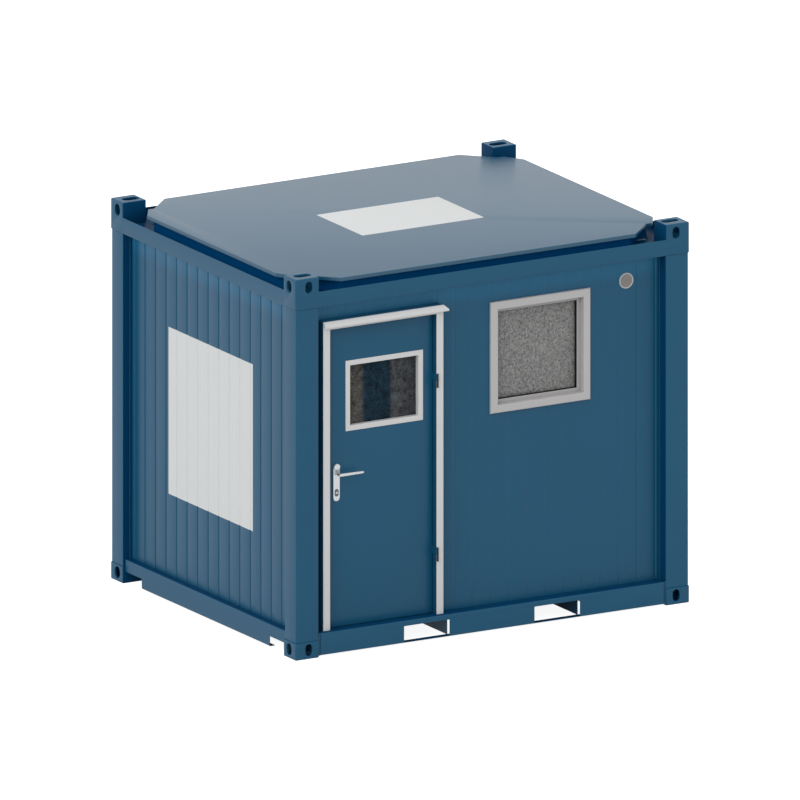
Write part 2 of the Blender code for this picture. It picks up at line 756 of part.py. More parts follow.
lip_low = ROOF_TOP - ROOF_LIP
roof_cover = prism("roof_cover", roof_outline(0.0), "z", lip_low, ROOF_TOP, ROOF_BLUE)
upstand_low = GUTTER_FLOOR + GAP
weld(roof_cover, guide_prism(roof_outline(ROOF_UPSTAND_INSET), "z", upstand_low, lip_low + SHEET))
cut(roof_cover, guide_prism(
    roof_outline(ROOF_UPSTAND_INSET + ROOF_UPSTAND_WIDTH), "z",
    upstand_low - SHEET, ROOF_TOP - ROOF_SHEET,
))


# Wall panels
def grooved_edge(start, end, face, inward, groove_at):
    """The outer edge of a wall panel seen from above, with a narrow groove at every pitch."""
    first = math.ceil((start + GROOVE_WIDTH - groove_at) / GROOVE_PITCH)
    last = math.floor((end - GROOVE_WIDTH - groove_at) / GROOVE_PITCH)
    points = [(start, face)]
    for number in range(first, last + 1):
        middle = groove_at + number * GROOVE_PITCH
        points += [
            (middle - GROOVE_WIDTH / 2, face),
            (middle - GROOVE_FLOOR / 2, face + inward * GROOVE_DEPTH),
            (middle + GROOVE_FLOOR / 2, face + inward * GROOVE_DEPTH),
            (middle + GROOVE_WIDTH / 2, face),
        ]
    return points + [(end, face)]


wall_low = FLOOR_RAIL_TOP + GAP
wall_high = ROOF_RAIL_LOW - GAP
wall_start = INNER_X + GAP


def long_wall(name, face, inward):
    """Front or rear wall panel, between the side panels."""
    edge = grooved_edge(wall_start, LENGTH - wall_start, face, inward, FRONT_GROOVE_AT)
    back = face + inward * PANEL_THICK
    outline = edge + [(LENGTH - wall_start, back), (wall_start, back)]
    return prism(name, outline, "z", wall_low, wall_high, BLUE)


def side_wall(name, face, inward):
    """Left or right wall panel, which runs into the posts."""
    edge = grooved_edge(FRONT_PANEL_Y, WIDTH - FRONT_PANEL_Y, face, inward, SIDE_GROOVE_AT)
    back = face + inward * PANEL_THICK
    outline = [(x, y) for y, x in edge]
    outline += [(back, WIDTH - FRONT_PANEL_Y), (back, FRONT_PANEL_Y)]
    return prism(name, outline, "z", wall_low, wall_high, BLUE)


front_wall = long_wall("wall_panel_front", FRONT_PANEL_Y, 1)
long_wall("wall_panel_rear", WIDTH - FRONT_PANEL_Y, -1)
side_wall("wall_panel_left", SIDE_PANEL_X, 1)
side_wall("wall_panel_right", LENGTH - SIDE_PANEL_X, -1)
wall_cut = (FRONT_PANEL_Y - STEEL, INNER_Y + STEEL)
cut(
    front_wall,
    guide_block(
        (DOOR_FRAME_LEFT - GAP, wall_cut[0], wall_low - STEEL),
        (DOOR_FRAME_RIGHT + GAP, wall_cut[1], DOOR_FRAME_HEAD + GAP),
    ),
    guide_block(
        (WINDOW_LEFT - GAP, wall_cut[0], WINDOW_LOW - GAP),
        (WINDOW_RIGHT + GAP, wall_cut[1], WINDOW_HIGH + GAP),
    ),
    guide_prism(circle((VENT_X, VENT_Z), DUCT_RADIUS + GAP, 24), "y", *wall_cut),
)

# Door frame with its stop, its threshold behind the leaf and the frame knuckles
clear_left = DOOR_FRAME_LEFT + DOOR_FRAME_FACE
clear_right = DOOR_FRAME_RIGHT - DOOR_FRAME_FACE
clear_top = DOOR_FRAME_HEAD - DOOR_HEAD_FACE
sill_top = wall_low + DOOR_SILL
leaf_back = LEAF_FRONT + LEAF_THICK
stop_front = leaf_back + 3 * GAP
leaf_left = clear_left + LATCH_SIDE_CLEARANCE
leaf_right = clear_right - HINGE_SIDE_CLEARANCE
leaf_low = wall_low + LEAF_FLOOR_CLEARANCE
leaf_top = clear_top - LEAF_TOP_CLEARANCE
hinge_origin = (HINGE_AXIS_X, HINGE_AXIS_Y, leaf_low)
HINGE_CENTRES = {"lower": HINGE_LOW_CENTRE, "upper": HINGE_HIGH_CENTRE}

door_frame = block(
    "door_frame", (DOOR_FRAME_LEFT, DOOR_FRAME_FRONT, wall_low),
    (DOOR_FRAME_RIGHT, INNER_Y, DOOR_FRAME_HEAD), LIGHT_GREY,
)
cut(
    door_frame,
    guide_block(
        (clear_left, DOOR_FRAME_FRONT - STEEL, wall_low - STEEL), (clear_right, stop_front, clear_top)
    ),
    guide_block(
        (clear_left + DOOR_STOP, stop_front - STEEL, sill_top + DOOR_STOP / 2),
        (clear_right - DOOR_STOP, stop_front + DOOR_STOP_DEPTH, clear_top - DOOR_STOP),
    ),
    guide_block(
        (clear_left, stop_front + DOOR_STOP_DEPTH - GAP, sill_top),
        (clear_right, INNER_Y + STEEL, clear_top),
    ),
)


def knuckle(low, high, to_door):
    """Half of a door hinge: a tube on the axis, and the plates that join it to the leaf or the jamb."""
    tube = guide_prism(circle((HINGE_AXIS_X, HINGE_AXIS_Y), HINGE_RADIUS, 12), "z", low, high)
    if to_door:
        arm = guide_block(
            (leaf_right - HINGE_PLATE, HINGE_AXIS_Y - HINGE_PLATE / 2, low),
            (leaf_right, LEAF_FRONT + HINGE_PLATE, high),
        )
        bend = guide_block(
            (leaf_right - HINGE_PLATE / 2, HINGE_AXIS_Y - HINGE_PLATE / 2, low),
            (HINGE_AXIS_X, HINGE_AXIS_Y + HINGE_PLATE / 2, high),
        )
        return tube, arm, bend
    plate = guide_block(
        (HINGE_AXIS_X, DOOR_FRAME_FRONT - HINGE_PLATE, low),
        (HINGE_AXIS_X + HINGE_LEAF_REACH, DOOR_FRAME_FRONT + HINGE_PLATE / 2, high),
    )
    return tube, plate


def pin_bore(low, high):
    centre = (HINGE_AXIS_X, HINGE_AXIS_Y)
    return guide_prism(circle(centre, HINGE_PIN_RADIUS + GAP, 12), "z", low, high)


for name, centre_z in HINGE_CENTRES.items():
    low = centre_z - HINGE_HEIGHT / 2
    weld(door_frame, *knuckle(low, centre_z - GAP, False))
    cut(door_frame, pin_bore(low - STEEL, centre_z + STEEL))
    rod(
        "hinge_pin_" + name, "z", (HINGE_AXIS_X, HINGE_AXIS_Y), HINGE_PIN_RADIUS,
        low, low + HINGE_HEIGHT, STEEL_GREY, 12,
    )

# Door leaf with its pockets for glazing, lock and handles
leaf = block(
    "door_leaf", (leaf_left, LEAF_FRONT, leaf_low), (leaf_right, leaf_back, leaf_top), BLUE, hinge_origin
)
for centre_z in HINGE_CENTRES.values():
    high = centre_z + HINGE_HEIGHT / 2
    weld(leaf, *knuckle(centre_z + GAP, high, True))
    cut(leaf, pin_bore(centre_z - STEEL, high + STEEL))

sleeve = DOOR_GLASS_BAR - DOOR_GLASS_SLEEVE
sleeve_low = (DOOR_GLASS_LEFT + sleeve, DOOR_GLASS_LOW + sleeve)
sleeve_high = (DOOR_GLASS_RIGHT - sleeve, DOOR_GLASS_HIGH - sleeve)
cut(leaf, guide_prism(
    rectangle(sleeve_low[0] - GAP, sleeve_low[1] - GAP, sleeve_high[0] + GAP, sleeve_high[1] + GAP),
    "y", LEAF_FRONT - STEEL, leaf_back + STEEL,
))

lock_front = LEAF_FRONT + LEAF_THICK / 2 - LOCK_THICK / 2
lock_back = lock_front + LOCK_THICK
cylinder_hole = circle((HANDLE_X, CYLINDER_Z), CYLINDER_RADIUS + GAP)
lock_right = leaf_left + LOCK_DEPTH
cut(
    leaf,
    guide_block(
        (leaf_left - STEEL, lock_front - GAP, LOCK_LOW - GAP),
        (lock_right + GAP, lock_back + GAP, LOCK_HIGH + GAP),
    ),
    guide_prism(circle((HANDLE_X, SPINDLE_Z), NECK_RADIUS), "y", LEAF_FRONT - STEEL, leaf_back + STEEL),
    guide_prism(cylinder_hole, "y", LEAF_FRONT - STEEL, leaf_back + STEEL),
)

# Door glazing frame and pane
glass_low = (DOOR_GLASS_LEFT + DOOR_GLASS_BAR, DOOR_GLASS_LOW + DOOR_GLASS_BAR)
glass_high = (DOOR_GLASS_RIGHT - DOOR_GLASS_BAR, DOOR_GLASS_HIGH - DOOR_GLASS_BAR)
pane_front = LEAF_FRONT + DOOR_GLASS_RECESS
glazing = prism(
    "door_glazing_frame", rectangle(DOOR_GLASS_LEFT, DOOR_GLASS_LOW, DOOR_GLASS_RIGHT, DOOR_GLASS_HIGH),
    "y", LEAF_FRONT - DOOR_GLASS_PROUD, LEAF_FRONT - GAP, LIGHT_GREY,
)
weld(glazing, guide_prism(
    rectangle(*sleeve_low, *sleeve_high), "y",
    LEAF_FRONT - DOOR_GLASS_PROUD / 2, leaf_back + DOOR_GLASS_PROUD,
))


def grown(low, high, amount):
    """The rectangle between two corners, grown by an amount on every side."""
    return rectangle(low[0] - amount, low[1] - amount, high[0] + amount, high[1] + amount)


cut(
    glazing,
    guide_prism(
        grown(glass_low, glass_high, 0.0), "y",
        LEAF_FRONT - 2 * DOOR_GLASS_PROUD, pane_front + STEEL,
    ),
    guide_prism(
        grown(glass_low, glass_high, DOOR_GLASS_REBATE), "y", pane_front, leaf_back + 2 * DOOR_GLASS_PROUD,
    ),
)
prism(
    "door_pane", grown(glass_low, glass_high, DOOR_GLASS_REBATE - GAP),
    "y", pane_front + GAP, pane_front + GAP + DOOR_PANE, DARK_GLASS,
)

# Drip cap on the front of the door frame
cap_front_top = DOOR_FRAME_HEAD - DRIP_FALL
cap_back = DOOR_FRAME_FRONT - GAP
prism(
    "door_drip_cap",
    [
        (cap_back, DOOR_FRAME_HEAD), (DRIP_FRONT, cap_front_top),
        (DRIP_FRONT, cap_front_top - DRIP_LIP),
        (DRIP_FRONT + DRIP_SHEET, cap_front_top - DRIP_LIP),
        (DRIP_FRONT + DRIP_SHEET, cap_front_top - DRIP_SHEET),
        (cap_back - DRIP_SHEET, DOOR_FRAME_HEAD - 2 * DRIP_SHEET),
        (cap_back - DRIP_SHEET, DOOR_FRAME_HEAD - DRIP_FLANGE),
        (cap_back, DOOR_FRAME_HEAD - DRIP_FLANGE),
    ],
    "x", DRIP_LEFT, DRIP_RIGHT, LIGHT_GREY,
)

# Handle plates, levers and spindle
plate_middle = (HANDLE_X, (PLATE_LOW + PLATE_HIGH) / 2)


def handle_plate(name, start, end):
    plate = prism(
        name, oval(plate_middle, PLATE_WIDTH, PLATE_HIGH - PLATE_LOW, 8), "y", start, end, STEEL_GREY
    )
    reach = (start - STEEL, end + STEEL)
    return cut(
        plate,
        guide_prism(circle((HANDLE_X, SPINDLE_Z), NECK_RADIUS + GAP), "y", *reach),
        guide_prism(cylinder_hole, "y", *reach),
    )


plate_front = LEAF_FRONT - GAP - PLATE_THICK
plate_back = leaf_back + GAP + PLATE_THICK
handle_plate("handle_plate_outer", plate_front, LEAF_FRONT - GAP)
handle_plate("handle_plate_inner", leaf_back + GAP, plate_back)
spindle_origin = (HANDLE_X, (LEAF_FRONT + leaf_back) / 2, SPINDLE_Z)


def lever_arm(name, start, end, neck_start, neck_end):
    """A tapered lever with its round neck, turning on the spindle."""
    root = LEVER_ROOT_HEIGHT / 2
    tip = LEVER_TIP_HEIGHT / 2
    outline = arc((HANDLE_X, SPINDLE_Z), root, root, 90.0, 270.0, 6)
    outline += arc((LEVER_TIP_X - tip, SPINDLE_Z), tip, tip, -90.0, 90.0, 4)
    arm = prism(name, outline, "y", start, end, STEEL_GREY, spindle_origin)
    neck = guide_prism(circle((HANDLE_X, SPINDLE_Z), NECK_RADIUS - GAP), "y", neck_start, neck_end)
    return weld(arm, neck)


spindle_half = SPINDLE_SIDE / 2
lever_back = leaf_back + LEAF_FRONT - LEVER_FRONT
outer_lever = lever_arm(
    "door_lever_outer", LEVER_FRONT, LEVER_FRONT + LEVER_THICK,
    LEVER_FRONT + LEVER_THICK / 2, LEAF_FRONT,
)
weld(outer_lever, guide_block(
    (HANDLE_X - spindle_half, LEAF_FRONT - STEEL, SPINDLE_Z - spindle_half),
    (HANDLE_X + spindle_half, plate_back + LEVER_THICK, SPINDLE_Z + spindle_half),
))
inner_lever = lever_arm(
    "door_lever_inner", lever_back - LEVER_THICK, lever_back,
    leaf_back + GAP, lever_back - LEVER_THICK / 2,
)
socket_half = spindle_half + GAP
cut(inner_lever, guide_block(
    (HANDLE_X - socket_half, leaf_back - STEEL, SPINDLE_Z - socket_half),
    (HANDLE_X + socket_half, plate_back + LEVER_THICK + GAP, SPINDLE_Z + socket_half),
))

# Lock case with its latch bolt, deadbolt and cylinder
bolt_back = leaf_left + BOLT_LENGTH
deadbolt_z = (SPINDLE_Z + CYLINDER_Z) / 2
lock_middle = (lock_front + lock_back) / 2
latch_half = (LATCH_THICK / 2, LATCH_HEIGHT / 2)
dead_half = (LATCH_THICK / 2, DEADBOLT_HEIGHT / 2)
lock_case = block(
    "lock_case", (leaf_left, lock_front, LOCK_LOW), (lock_right, lock_back, LOCK_HIGH), GALVANISED
)


def bolt_space(z, half, room, left):
    """The room of a bolt and its travel, as a guide."""
    return guide_block(
        (left, lock_middle - half[0] - GAP, z - half[1] - GAP),
        (bolt_back + room + GAP, lock_middle + half[0] + GAP, z + half[1] + GAP),
    )


cut(
    lock_case,
    bolt_space(SPINDLE_Z, latch_half, LATCH_TRAVEL, leaf_left - STEEL),
    bolt_space(deadbolt_z, dead_half, 0.0, leaf_left - STEEL),
    guide_prism(circle((HANDLE_X, SPINDLE_Z), NECK_RADIUS), "y", lock_front - STEEL, lock_back + STEEL),
    guide_prism(cylinder_hole, "y", lock_front - STEEL, lock_back + STEEL),
)
latch_front = lock_middle - latch_half[0]
latch_rear = lock_middle + latch_half[0]
latch_tip = leaf_left - LATCH_OUT
prism(
    "latch_bolt",
    [(bolt_back, latch_front), (bolt_back, latch_rear), (latch_tip + LATCH_THICK, latch_rear),
     (latch_tip, latch_front + SHEET), (latch_tip, latch_front)],
    "z", SPINDLE_Z - latch_half[1], SPINDLE_Z + latch_half[1], STEEL_GREY,
)
block(
    "deadbolt", (leaf_left + GAP, lock_middle - dead_half[0], deadbolt_z - dead_half[1]),
    (bolt_back, lock_middle + dead_half[0], deadbolt_z + dead_half[1]), STEEL_GREY,
)
for z, half in ((SPINDLE_Z, latch_half), (deadbolt_z, dead_half)):
    cut(door_frame, bolt_space(z, (half[0] + SHEET, half[1] + SHEET), 0.0, clear_left - STRIKE_DEPTH))

cylinder_front = plate_front - CYLINDER_PROUD
cylinder_back = plate_back + CYLINDER_PROUD
cylinder_at = (HANDLE_X, CYLINDER_Z)
lock_cylinder = rod(
    "lock_cylinder", "y", cylinder_at, CYLINDER_RADIUS, cylinder_front, cylinder_back, STEEL_GREY
)
cut(lock_cylinder, guide_prism(
    circle(cylinder_at, PLUG_RADIUS + GAP, 12), "y", cylinder_front - STEEL, cylinder_back - STEEL
))
lock_plug = rod(
    "lock_plug", "y", cylinder_at, PLUG_RADIUS, cylinder_front - SHEET / 2, cylinder_back - STEEL - GAP,
    STEEL_GREY, 12, (HANDLE_X, cylinder_front, CYLINDER_Z),
)
cut(lock_plug, guide_block(
    (HANDLE_X - SHEET / 2, cylinder_front - STEEL, CYLINDER_Z - STEEL),
    (HANDLE_X + SHEET / 2, cylinder_front + BOLT_LENGTH, CYLINDER_Z + STEEL),
))

# Tilt window: fixed frame, bottom-hung sash, pane and handle
window_open = (
    WINDOW_LEFT + WINDOW_BAR, WINDOW_LOW + WINDOW_BAR,
    WINDOW_RIGHT - WINDOW_BAR, WINDOW_HIGH - WINDOW_BAR,
)
sash_front = WINDOW_FRONT + SASH_RECESS
sash_back = sash_front + SASH_THICK
sash_left = window_open[0] - SASH_OVERLAP
sash_right = window_open[2] + SASH_OVERLAP
sash_low = window_open[1] - SASH_OVERLAP
sash_high = window_open[3] + SASH_OVERLAP
sash_hinge = ((sash_left + sash_right) / 2, sash_back, sash_low)

window_frame = prism(
    "window_frame", rectangle(WINDOW_LEFT, WINDOW_LOW, WINDOW_RIGHT, WINDOW_HIGH), "y",
    WINDOW_FRONT, WINDOW_BACK, WINDOW_WHITE,
)
cut(
    window_frame,
    guide_prism(rectangle(*window_open), "y", WINDOW_FRONT - STEEL, WINDOW_BACK + STEEL),
    guide_prism(
        rectangle(
            sash_left - CUBICLE_EDGE_GAP, sash_low - SASH_LOW_GAP,
            sash_right + CUBICLE_EDGE_GAP, sash_high + SASH_SWING_GAP,
        ),
        "y", sash_front - GAP, WINDOW_BACK + STEEL,
    ),
)

sash = prism(
    "window_sash", rectangle(sash_left, sash_low, sash_right, sash_high), "y",
    sash_front, sash_back, WINDOW_WHITE, sash_hinge,
)
light_low = (window_open[0] + SASH_BAR, window_open[1] + SASH_BAR)
light_high = (window_open[2] - SASH_BAR, window_open[3] - SASH_BAR)
cut(
    sash,
    guide_prism(grown(light_low, light_high, 0.0), "y", sash_front - STEEL, sash_back + STEEL),
    guide_prism(
        grown(light_low, light_high, WINDOW_PANE_BITE), "y", sash_front + WINDOW_PANE_SET, sash_back + STEEL,
    ),
)
prism(
    "window_pane", grown(light_low, light_high, WINDOW_PANE_BITE - GAP), "y",
    sash_front + WINDOW_PANE_SET + GAP, sash_front + WINDOW_PANE_SET + GAP + WINDOW_PANE, DARK_GLASS,
)

catch_z = (light_high[1] + sash_high + WINDOW_PANE_BITE) / 2
catch_x = (sash_left + sash_right) / 2
catch_y = sash_back + GAP
window_handle = rod(
    "window_handle", "y", (catch_x, catch_z), NECK_RADIUS, catch_y, catch_y + 2 * NECK_RADIUS,
    PLASTIC, 12, (catch_x, catch_y, catch_z),
)
weld(window_handle, guide_block(
    (catch_x - NECK_RADIUS, catch_y + NECK_RADIUS, catch_z - LEVER_TIP_HEIGHT / 2),
    (catch_x + TAP_HEIGHT, catch_y + 2 * NECK_RADIUS + STEEL, catch_z + LEVER_TIP_HEIGHT / 2),
))

# Round vent and its fan
vent_at = (VENT_X, VENT_Z)
vent_open = VENT_RADIUS - VENT_RIM
vent_back = FRONT_PANEL_Y - GAP
duct_outer = DUCT_RADIUS - GAP
vent = rod("vent_cover", "y", vent_at, VENT_RADIUS, vent_back - VENT_PROUD, vent_back, LIGHT_GREY, 32)
weld(vent, guide_prism(circle(vent_at, duct_outer, 24), "y", vent_back - SHEET, vent_back + DUCT_REACH))
cut(vent, guide_prism(
    circle(vent_at, vent_open, 24), "y", vent_back - 2 * VENT_PROUD, vent_back + 2 * DUCT_REACH
))
for number in range(VENT_BARS):
    rise = vent_open * (2 * (number + 0.5) / VENT_BARS - 1)
    reach = math.sqrt(vent_open**2 - rise**2) + VENT_BAR
    weld(vent, guide_block(
        (VENT_X - reach, vent_back - VENT_PROUD / 2, VENT_Z + rise - VENT_BAR / 2),
        (VENT_X + reach, vent_back - VENT_PROUD / 2 + SHEET, VENT_Z + rise + VENT_BAR / 2),
    ))

fan_front = INNER_Y + GAP
fan_back = fan_front + FAN_DEPTH
fan_bore = duct_outer - DUCT_WALL
fan_half = FAN_SIDE / 2
housing = prism(
    "fan_housing", rectangle(VENT_X - fan_half, VENT_Z - fan_half, VENT_X + fan_half, VENT_Z + fan_half),
    "y", fan_front, fan_back, PLASTIC,
)
weld(housing, guide_prism(
    circle(vent_at, duct_outer, 24), "y", vent_back + DUCT_REACH + STEEL, fan_front + SHEET
))
cut(housing, guide_prism(circle(vent_at, fan_bore, 24), "y", vent_back, fan_back + STEEL))
strut_y = (fan_back - 3 * STEEL, fan_back - STEEL)
for turn in (0.0, 90.0):
    reach = fan_bore + STEEL
    across = (reach, STEEL) if turn == 0.0 else (STEEL, reach)
    weld(housing, guide_block(
        (VENT_X - across[0], strut_y[0], VENT_Z - across[1]),
        (VENT_X + across[0], strut_y[1], VENT_Z + across[1]),
    ))
weld(housing, guide_prism(
    circle(vent_at, FAN_SHAFT_RADIUS, 12), "y", fan_front + STEEL, strut_y[0] + STEEL
))
rotor_back = strut_y[0] - STEEL / 4
impeller = rod(
    "fan_impeller", "y", vent_at, FAN_HUB_RADIUS, fan_front + 2 * STEEL, rotor_back, PLASTIC, 16,
    (VENT_X, fan_front, VENT_Z),
)
blade_tip = fan_bore - SHEET
blade_half = FAN_HUB_RADIUS * FAN_BLADE_SHARE
for number in range(FAN_BLADES):
    blade = block(
        "guide", (FAN_HUB_RADIUS - SHEET, -SHEET / 2, -blade_half),
        (blade_tip, SHEET / 2, blade_half), PLASTIC,
    )
    pitch = Euler((math.radians(FAN_BLADE_PITCH), 0.0, 0.0)).to_matrix().to_4x4()
    spin = Matrix.Rotation(2 * math.pi * number / FAN_BLADES, 4, "Y")
    blade.data.transform(spin @ pitch)
    blade.location = (VENT_X, (fan_front + 2 * STEEL + rotor_back) / 2, VENT_Z)
    weld(impeller, blade)
cut(impeller, guide_prism(
    circle(vent_at, FAN_SHAFT_RADIUS + GAP, 12), "y", fan_front, rotor_back + STEEL
))

# Cubicle partition and its two doors
room_low = FLOOR_RAIL_TOP + GAP
room_high = ROOF_RAIL_LOW - GAP
partition_back = PARTITION_X + PARTITION_THICK
inner_right = LENGTH - INNER_X - GAP
inner_rear = WIDTH - INNER_Y - GAP
partition = block(
    "cubicle_partition", (PARTITION_X, INNER_Y + GAP, room_low),
    (partition_back, inner_rear, room_high), LINING,
)
weld(partition, guide_block(
    (PARTITION_X + STEEL, DIVIDER_Y, room_low), (inner_right, DIVIDER_Y + PARTITION_THICK, room_high)
))


def cubicle_door(name, hinge_y, towards):
    """A cubicle door and its doorway. The leaf runs from its hinge line in the direction towards."""
    free_y = hinge_y + towards * CUBICLE_DOOR_WIDTH
    low_y, high_y = sorted((hinge_y, free_y))
    cut(partition, guide_block(
        (PARTITION_X - STEEL, low_y, room_low - STEEL),
        (partition_back + STEEL, high_y, CUBICLE_DOOR_TOP),
    ))
    leaf_ys = sorted((hinge_y + towards * CUBICLE_EDGE_GAP, free_y - towards * CUBICLE_FREE_GAP))
    leaf_z = (room_low + CUBICLE_FLOOR_GAP, CUBICLE_DOOR_TOP - CUBICLE_FREE_GAP)
    axis = (PARTITION_X - CUBICLE_KNUCKLE_RADIUS - CUBICLE_EDGE_GAP, hinge_y)
    door = block(
        name, (PARTITION_X, leaf_ys[0], leaf_z[0]), (partition_back, leaf_ys[1], leaf_z[1]), LINING,
        (*axis, leaf_z[0]),
    )
    strap_reaches = (CUBICLE_EDGE_GAP, 2 * CUBICLE_KNUCKLE_RADIUS)
    strap = sorted(hinge_y + towards * reach for reach in strap_reaches)
    top_start = leaf_z[1] - CUBICLE_KNUCKLE_INSET - CUBICLE_KNUCKLE_HEIGHT
    for start in (leaf_z[0] + CUBICLE_KNUCKLE_INSET, top_start):
        end = start + CUBICLE_KNUCKLE_HEIGHT
        weld(
            door,
            guide_prism(circle(axis, CUBICLE_KNUCKLE_RADIUS, 12), "z", start, end),
            guide_block((PARTITION_X - SHEET, strap[0], start), (PARTITION_X + SHEET, strap[1], end)),
        )
    return door


cubicle_door("wc_door", WC_DOOR_FAR, -1)
cubicle_door("shower_door", SHOWER_DOOR_NEAR, 1)


# Toilet: pan, cistern, flush button, seat and lid
def ring_stack(name, rings, material, origin=(0.0, 0.0, 0.0)):
    """A closed body from rings of points, the first and last ring capped."""
    count = len(rings[0])
    points = [point for ring in rings for point in ring]
    faces = [
        (row + i, row + (i + 1) % count, row + count + (i + 1) % count, row + count + i)
        for row in range(0, (len(rings) - 1) * count, count) for i in range(count)
    ]
    faces.append(tuple(range(count)))
    faces.append(tuple(range((len(rings) - 1) * count, len(rings) * count)))
    return placed(name, closed_mesh(name, points, faces), material, origin)


toilet_middle = TOILET_HINGE_X - TOILET_LENGTH / 2


def toilet_ring(length_half, width_half, z, back=0.0):
    """An egg-shaped ring round the pan, blunter towards the wall."""
    ring = []
    for number in range(TOILET_POINTS):
        t = 2 * math.pi * number / TOILET_POINTS
        x = toilet_middle + back + length_half * math.cos(t)
        y = TOILET_Y + width_half * math.sin(t) * (1.0 + TOILET_EGG * math.cos(t))
        ring.append((x, y, z))
    return ring


half_length = TOILET_LENGTH / 2
pan_low = room_low
seat_axis_z = TOILET_RIM_Z + SEAT_THICK + 2 * GAP
seat_origin = (TOILET_HINGE_X, TOILET_Y, seat_axis_z)
seat_low = seat_axis_z - SEAT_THICK - GAP


def pan_ring(share, z, back=0.0):
    """A ring of the pan at a share of its full length and width."""
    return toilet_ring(half_length * share, TOILET_HALF_WIDTH * share, z, back)


def rim_ring(wall, z):
    """A ring of the pan at a distance inside its rim."""
    return toilet_ring(half_length - wall, TOILET_HALF_WIDTH - wall, z)


pan = ring_stack(
    "toilet_pan",
    [
        pan_ring(TOILET_FOOT, pan_low, PAN_FOOT_BACK),
        pan_ring(PAN_WAIST, pan_low + PAN_WAIST_RISE, PAN_FOOT_BACK),
        pan_ring(PAN_BELLY, TOILET_RIM_Z - PAN_BELLY_DROP, PAN_BELLY_BACK),
        pan_ring(1.0, TOILET_RIM_Z - PAN_RIM_BAND),
        pan_ring(1.0, TOILET_RIM_Z),
        rim_ring(TOILET_WALL, TOILET_RIM_Z),
        rim_ring(PAN_BOWL_WALL * TOILET_WALL, TOILET_RIM_Z - PAN_BOWL_DROP),
        pan_ring(PAN_OUTLET, TOILET_RIM_Z - PAN_OUTLET_DROP, PAN_OUTLET_BACK),
    ],
    CERAMIC,
)
weld(
    pan,
    guide_block(
        (TOILET_HINGE_X - TOILET_WALL, TOILET_Y - TOILET_HALF_WIDTH * PAN_FOOT_BLOCK, pan_low),
        (inner_right, TOILET_Y + TOILET_HALF_WIDTH * PAN_FOOT_BLOCK, TOILET_RIM_Z - STEEL),
    ),
    guide_block(
        (CISTERN_FRONT_X - TOILET_WALL, TOILET_Y - TOILET_HALF_WIDTH, TOILET_RIM_Z - TOILET_WALL),
        (inner_right, TOILET_Y + TOILET_HALF_WIDTH, CISTERN_LOW - GAP),
    ),
)
button_x = (CISTERN_FRONT_X + inner_right) / 2
cistern = block(
    "toilet_cistern", (CISTERN_FRONT_X, TOILET_Y - CISTERN_HALF_WIDTH, CISTERN_LOW),
    (inner_right, TOILET_Y + CISTERN_HALF_WIDTH, CISTERN_HIGH), CERAMIC,
)
button_low = CISTERN_HIGH - BUTTON_DEPTH
cut(cistern, guide_prism(
    circle((button_x, TOILET_Y), BUTTON_RADIUS + GAP), "z",
    button_low - BUTTON_PROUD, CISTERN_HIGH + STEEL,
))
rod(
    "flush_button", "z", (button_x, TOILET_Y), BUTTON_RADIUS, button_low, CISTERN_HIGH + BUTTON_PROUD,
    CHROME, SEGMENTS, (button_x, TOILET_Y, CISTERN_HIGH),
)

def seat_outline():
    """The outline of seat and lid seen from above, cut straight across in front of the hinge."""
    line = toilet_ring(half_length, TOILET_HALF_WIDTH, 0.0)
    return [(min(x, TOILET_HINGE_X - SEAT_HINGE_CLEAR), y) for x, y, _ in line]


def hinge_lugs(thing, near, far, arm_x, arm_z, turn=Matrix.Identity(4)):
    """Two lugs with round eyes on the hinge line, each with an arm, turned about that line."""
    eye = circle((TOILET_HINGE_X, seat_axis_z), SEAT_HINGE_RADIUS, 12)
    about = Matrix.Translation(seat_origin) @ turn @ Matrix.Translation(-Vector(seat_origin))
    for side in (-1, 1):
        low_y, high_y = sorted((TOILET_Y + side * near, TOILET_Y + side * far))
        arm = guide_block((arm_x[0], low_y, arm_z[0]), (arm_x[1], high_y, arm_z[1]))
        round_eye = guide_prism(eye, "y", low_y, high_y)
        for guide in (arm, round_eye):
            guide.data.transform(about)
        weld(thing, arm, round_eye)


arm_x = (TOILET_HINGE_X - 2 * SEAT_HINGE_CLEAR, TOILET_HINGE_X)
seat = prism("toilet_seat", seat_outline(), "z", seat_low, seat_axis_z - GAP, PLASTIC, seat_origin)
seat_hole = toilet_ring(
    half_length - SEAT_END, TOILET_HALF_WIDTH - SEAT_SIDE, 0.0, -SEAT_HOLE_FORWARD
)
cut(seat, guide_prism(
    [(x, y) for x, y, _ in seat_hole], "z", seat_low - STEEL, seat_axis_z + STEEL
))
hinge_lugs(seat, SEAT_LUG_INNER, SEAT_LUG_OUTER, arm_x, (seat_low + STEEL, seat_axis_z - SHEET))

lean = Matrix.Rotation(math.radians(LID_LEAN_DEG), 4, "Y")
lid = prism(
    "toilet_lid", seat_outline(), "z", seat_axis_z + GAP, seat_axis_z + GAP + LID_THICK,
    PLASTIC, seat_origin,
)
lid.data.transform(lean)
lid_arm_z = (seat_axis_z + SHEET, seat_axis_z + LID_THICK - SHEET)
hinge_lugs(lid, LID_LUG_INNER, SEAT_LUG_INNER - GAP, arm_x, lid_arm_z, lean)
post_x = (TOILET_HINGE_X - SEAT_HINGE_RADIUS + SHEET, TOILET_HINGE_X + SEAT_HINGE_RADIUS - SHEET)
hinge_lugs(pan, HINGE_POST_INNER, LID_LUG_INNER - GAP, post_x, (TOILET_RIM_Z - 2 * STEEL, seat_axis_z))

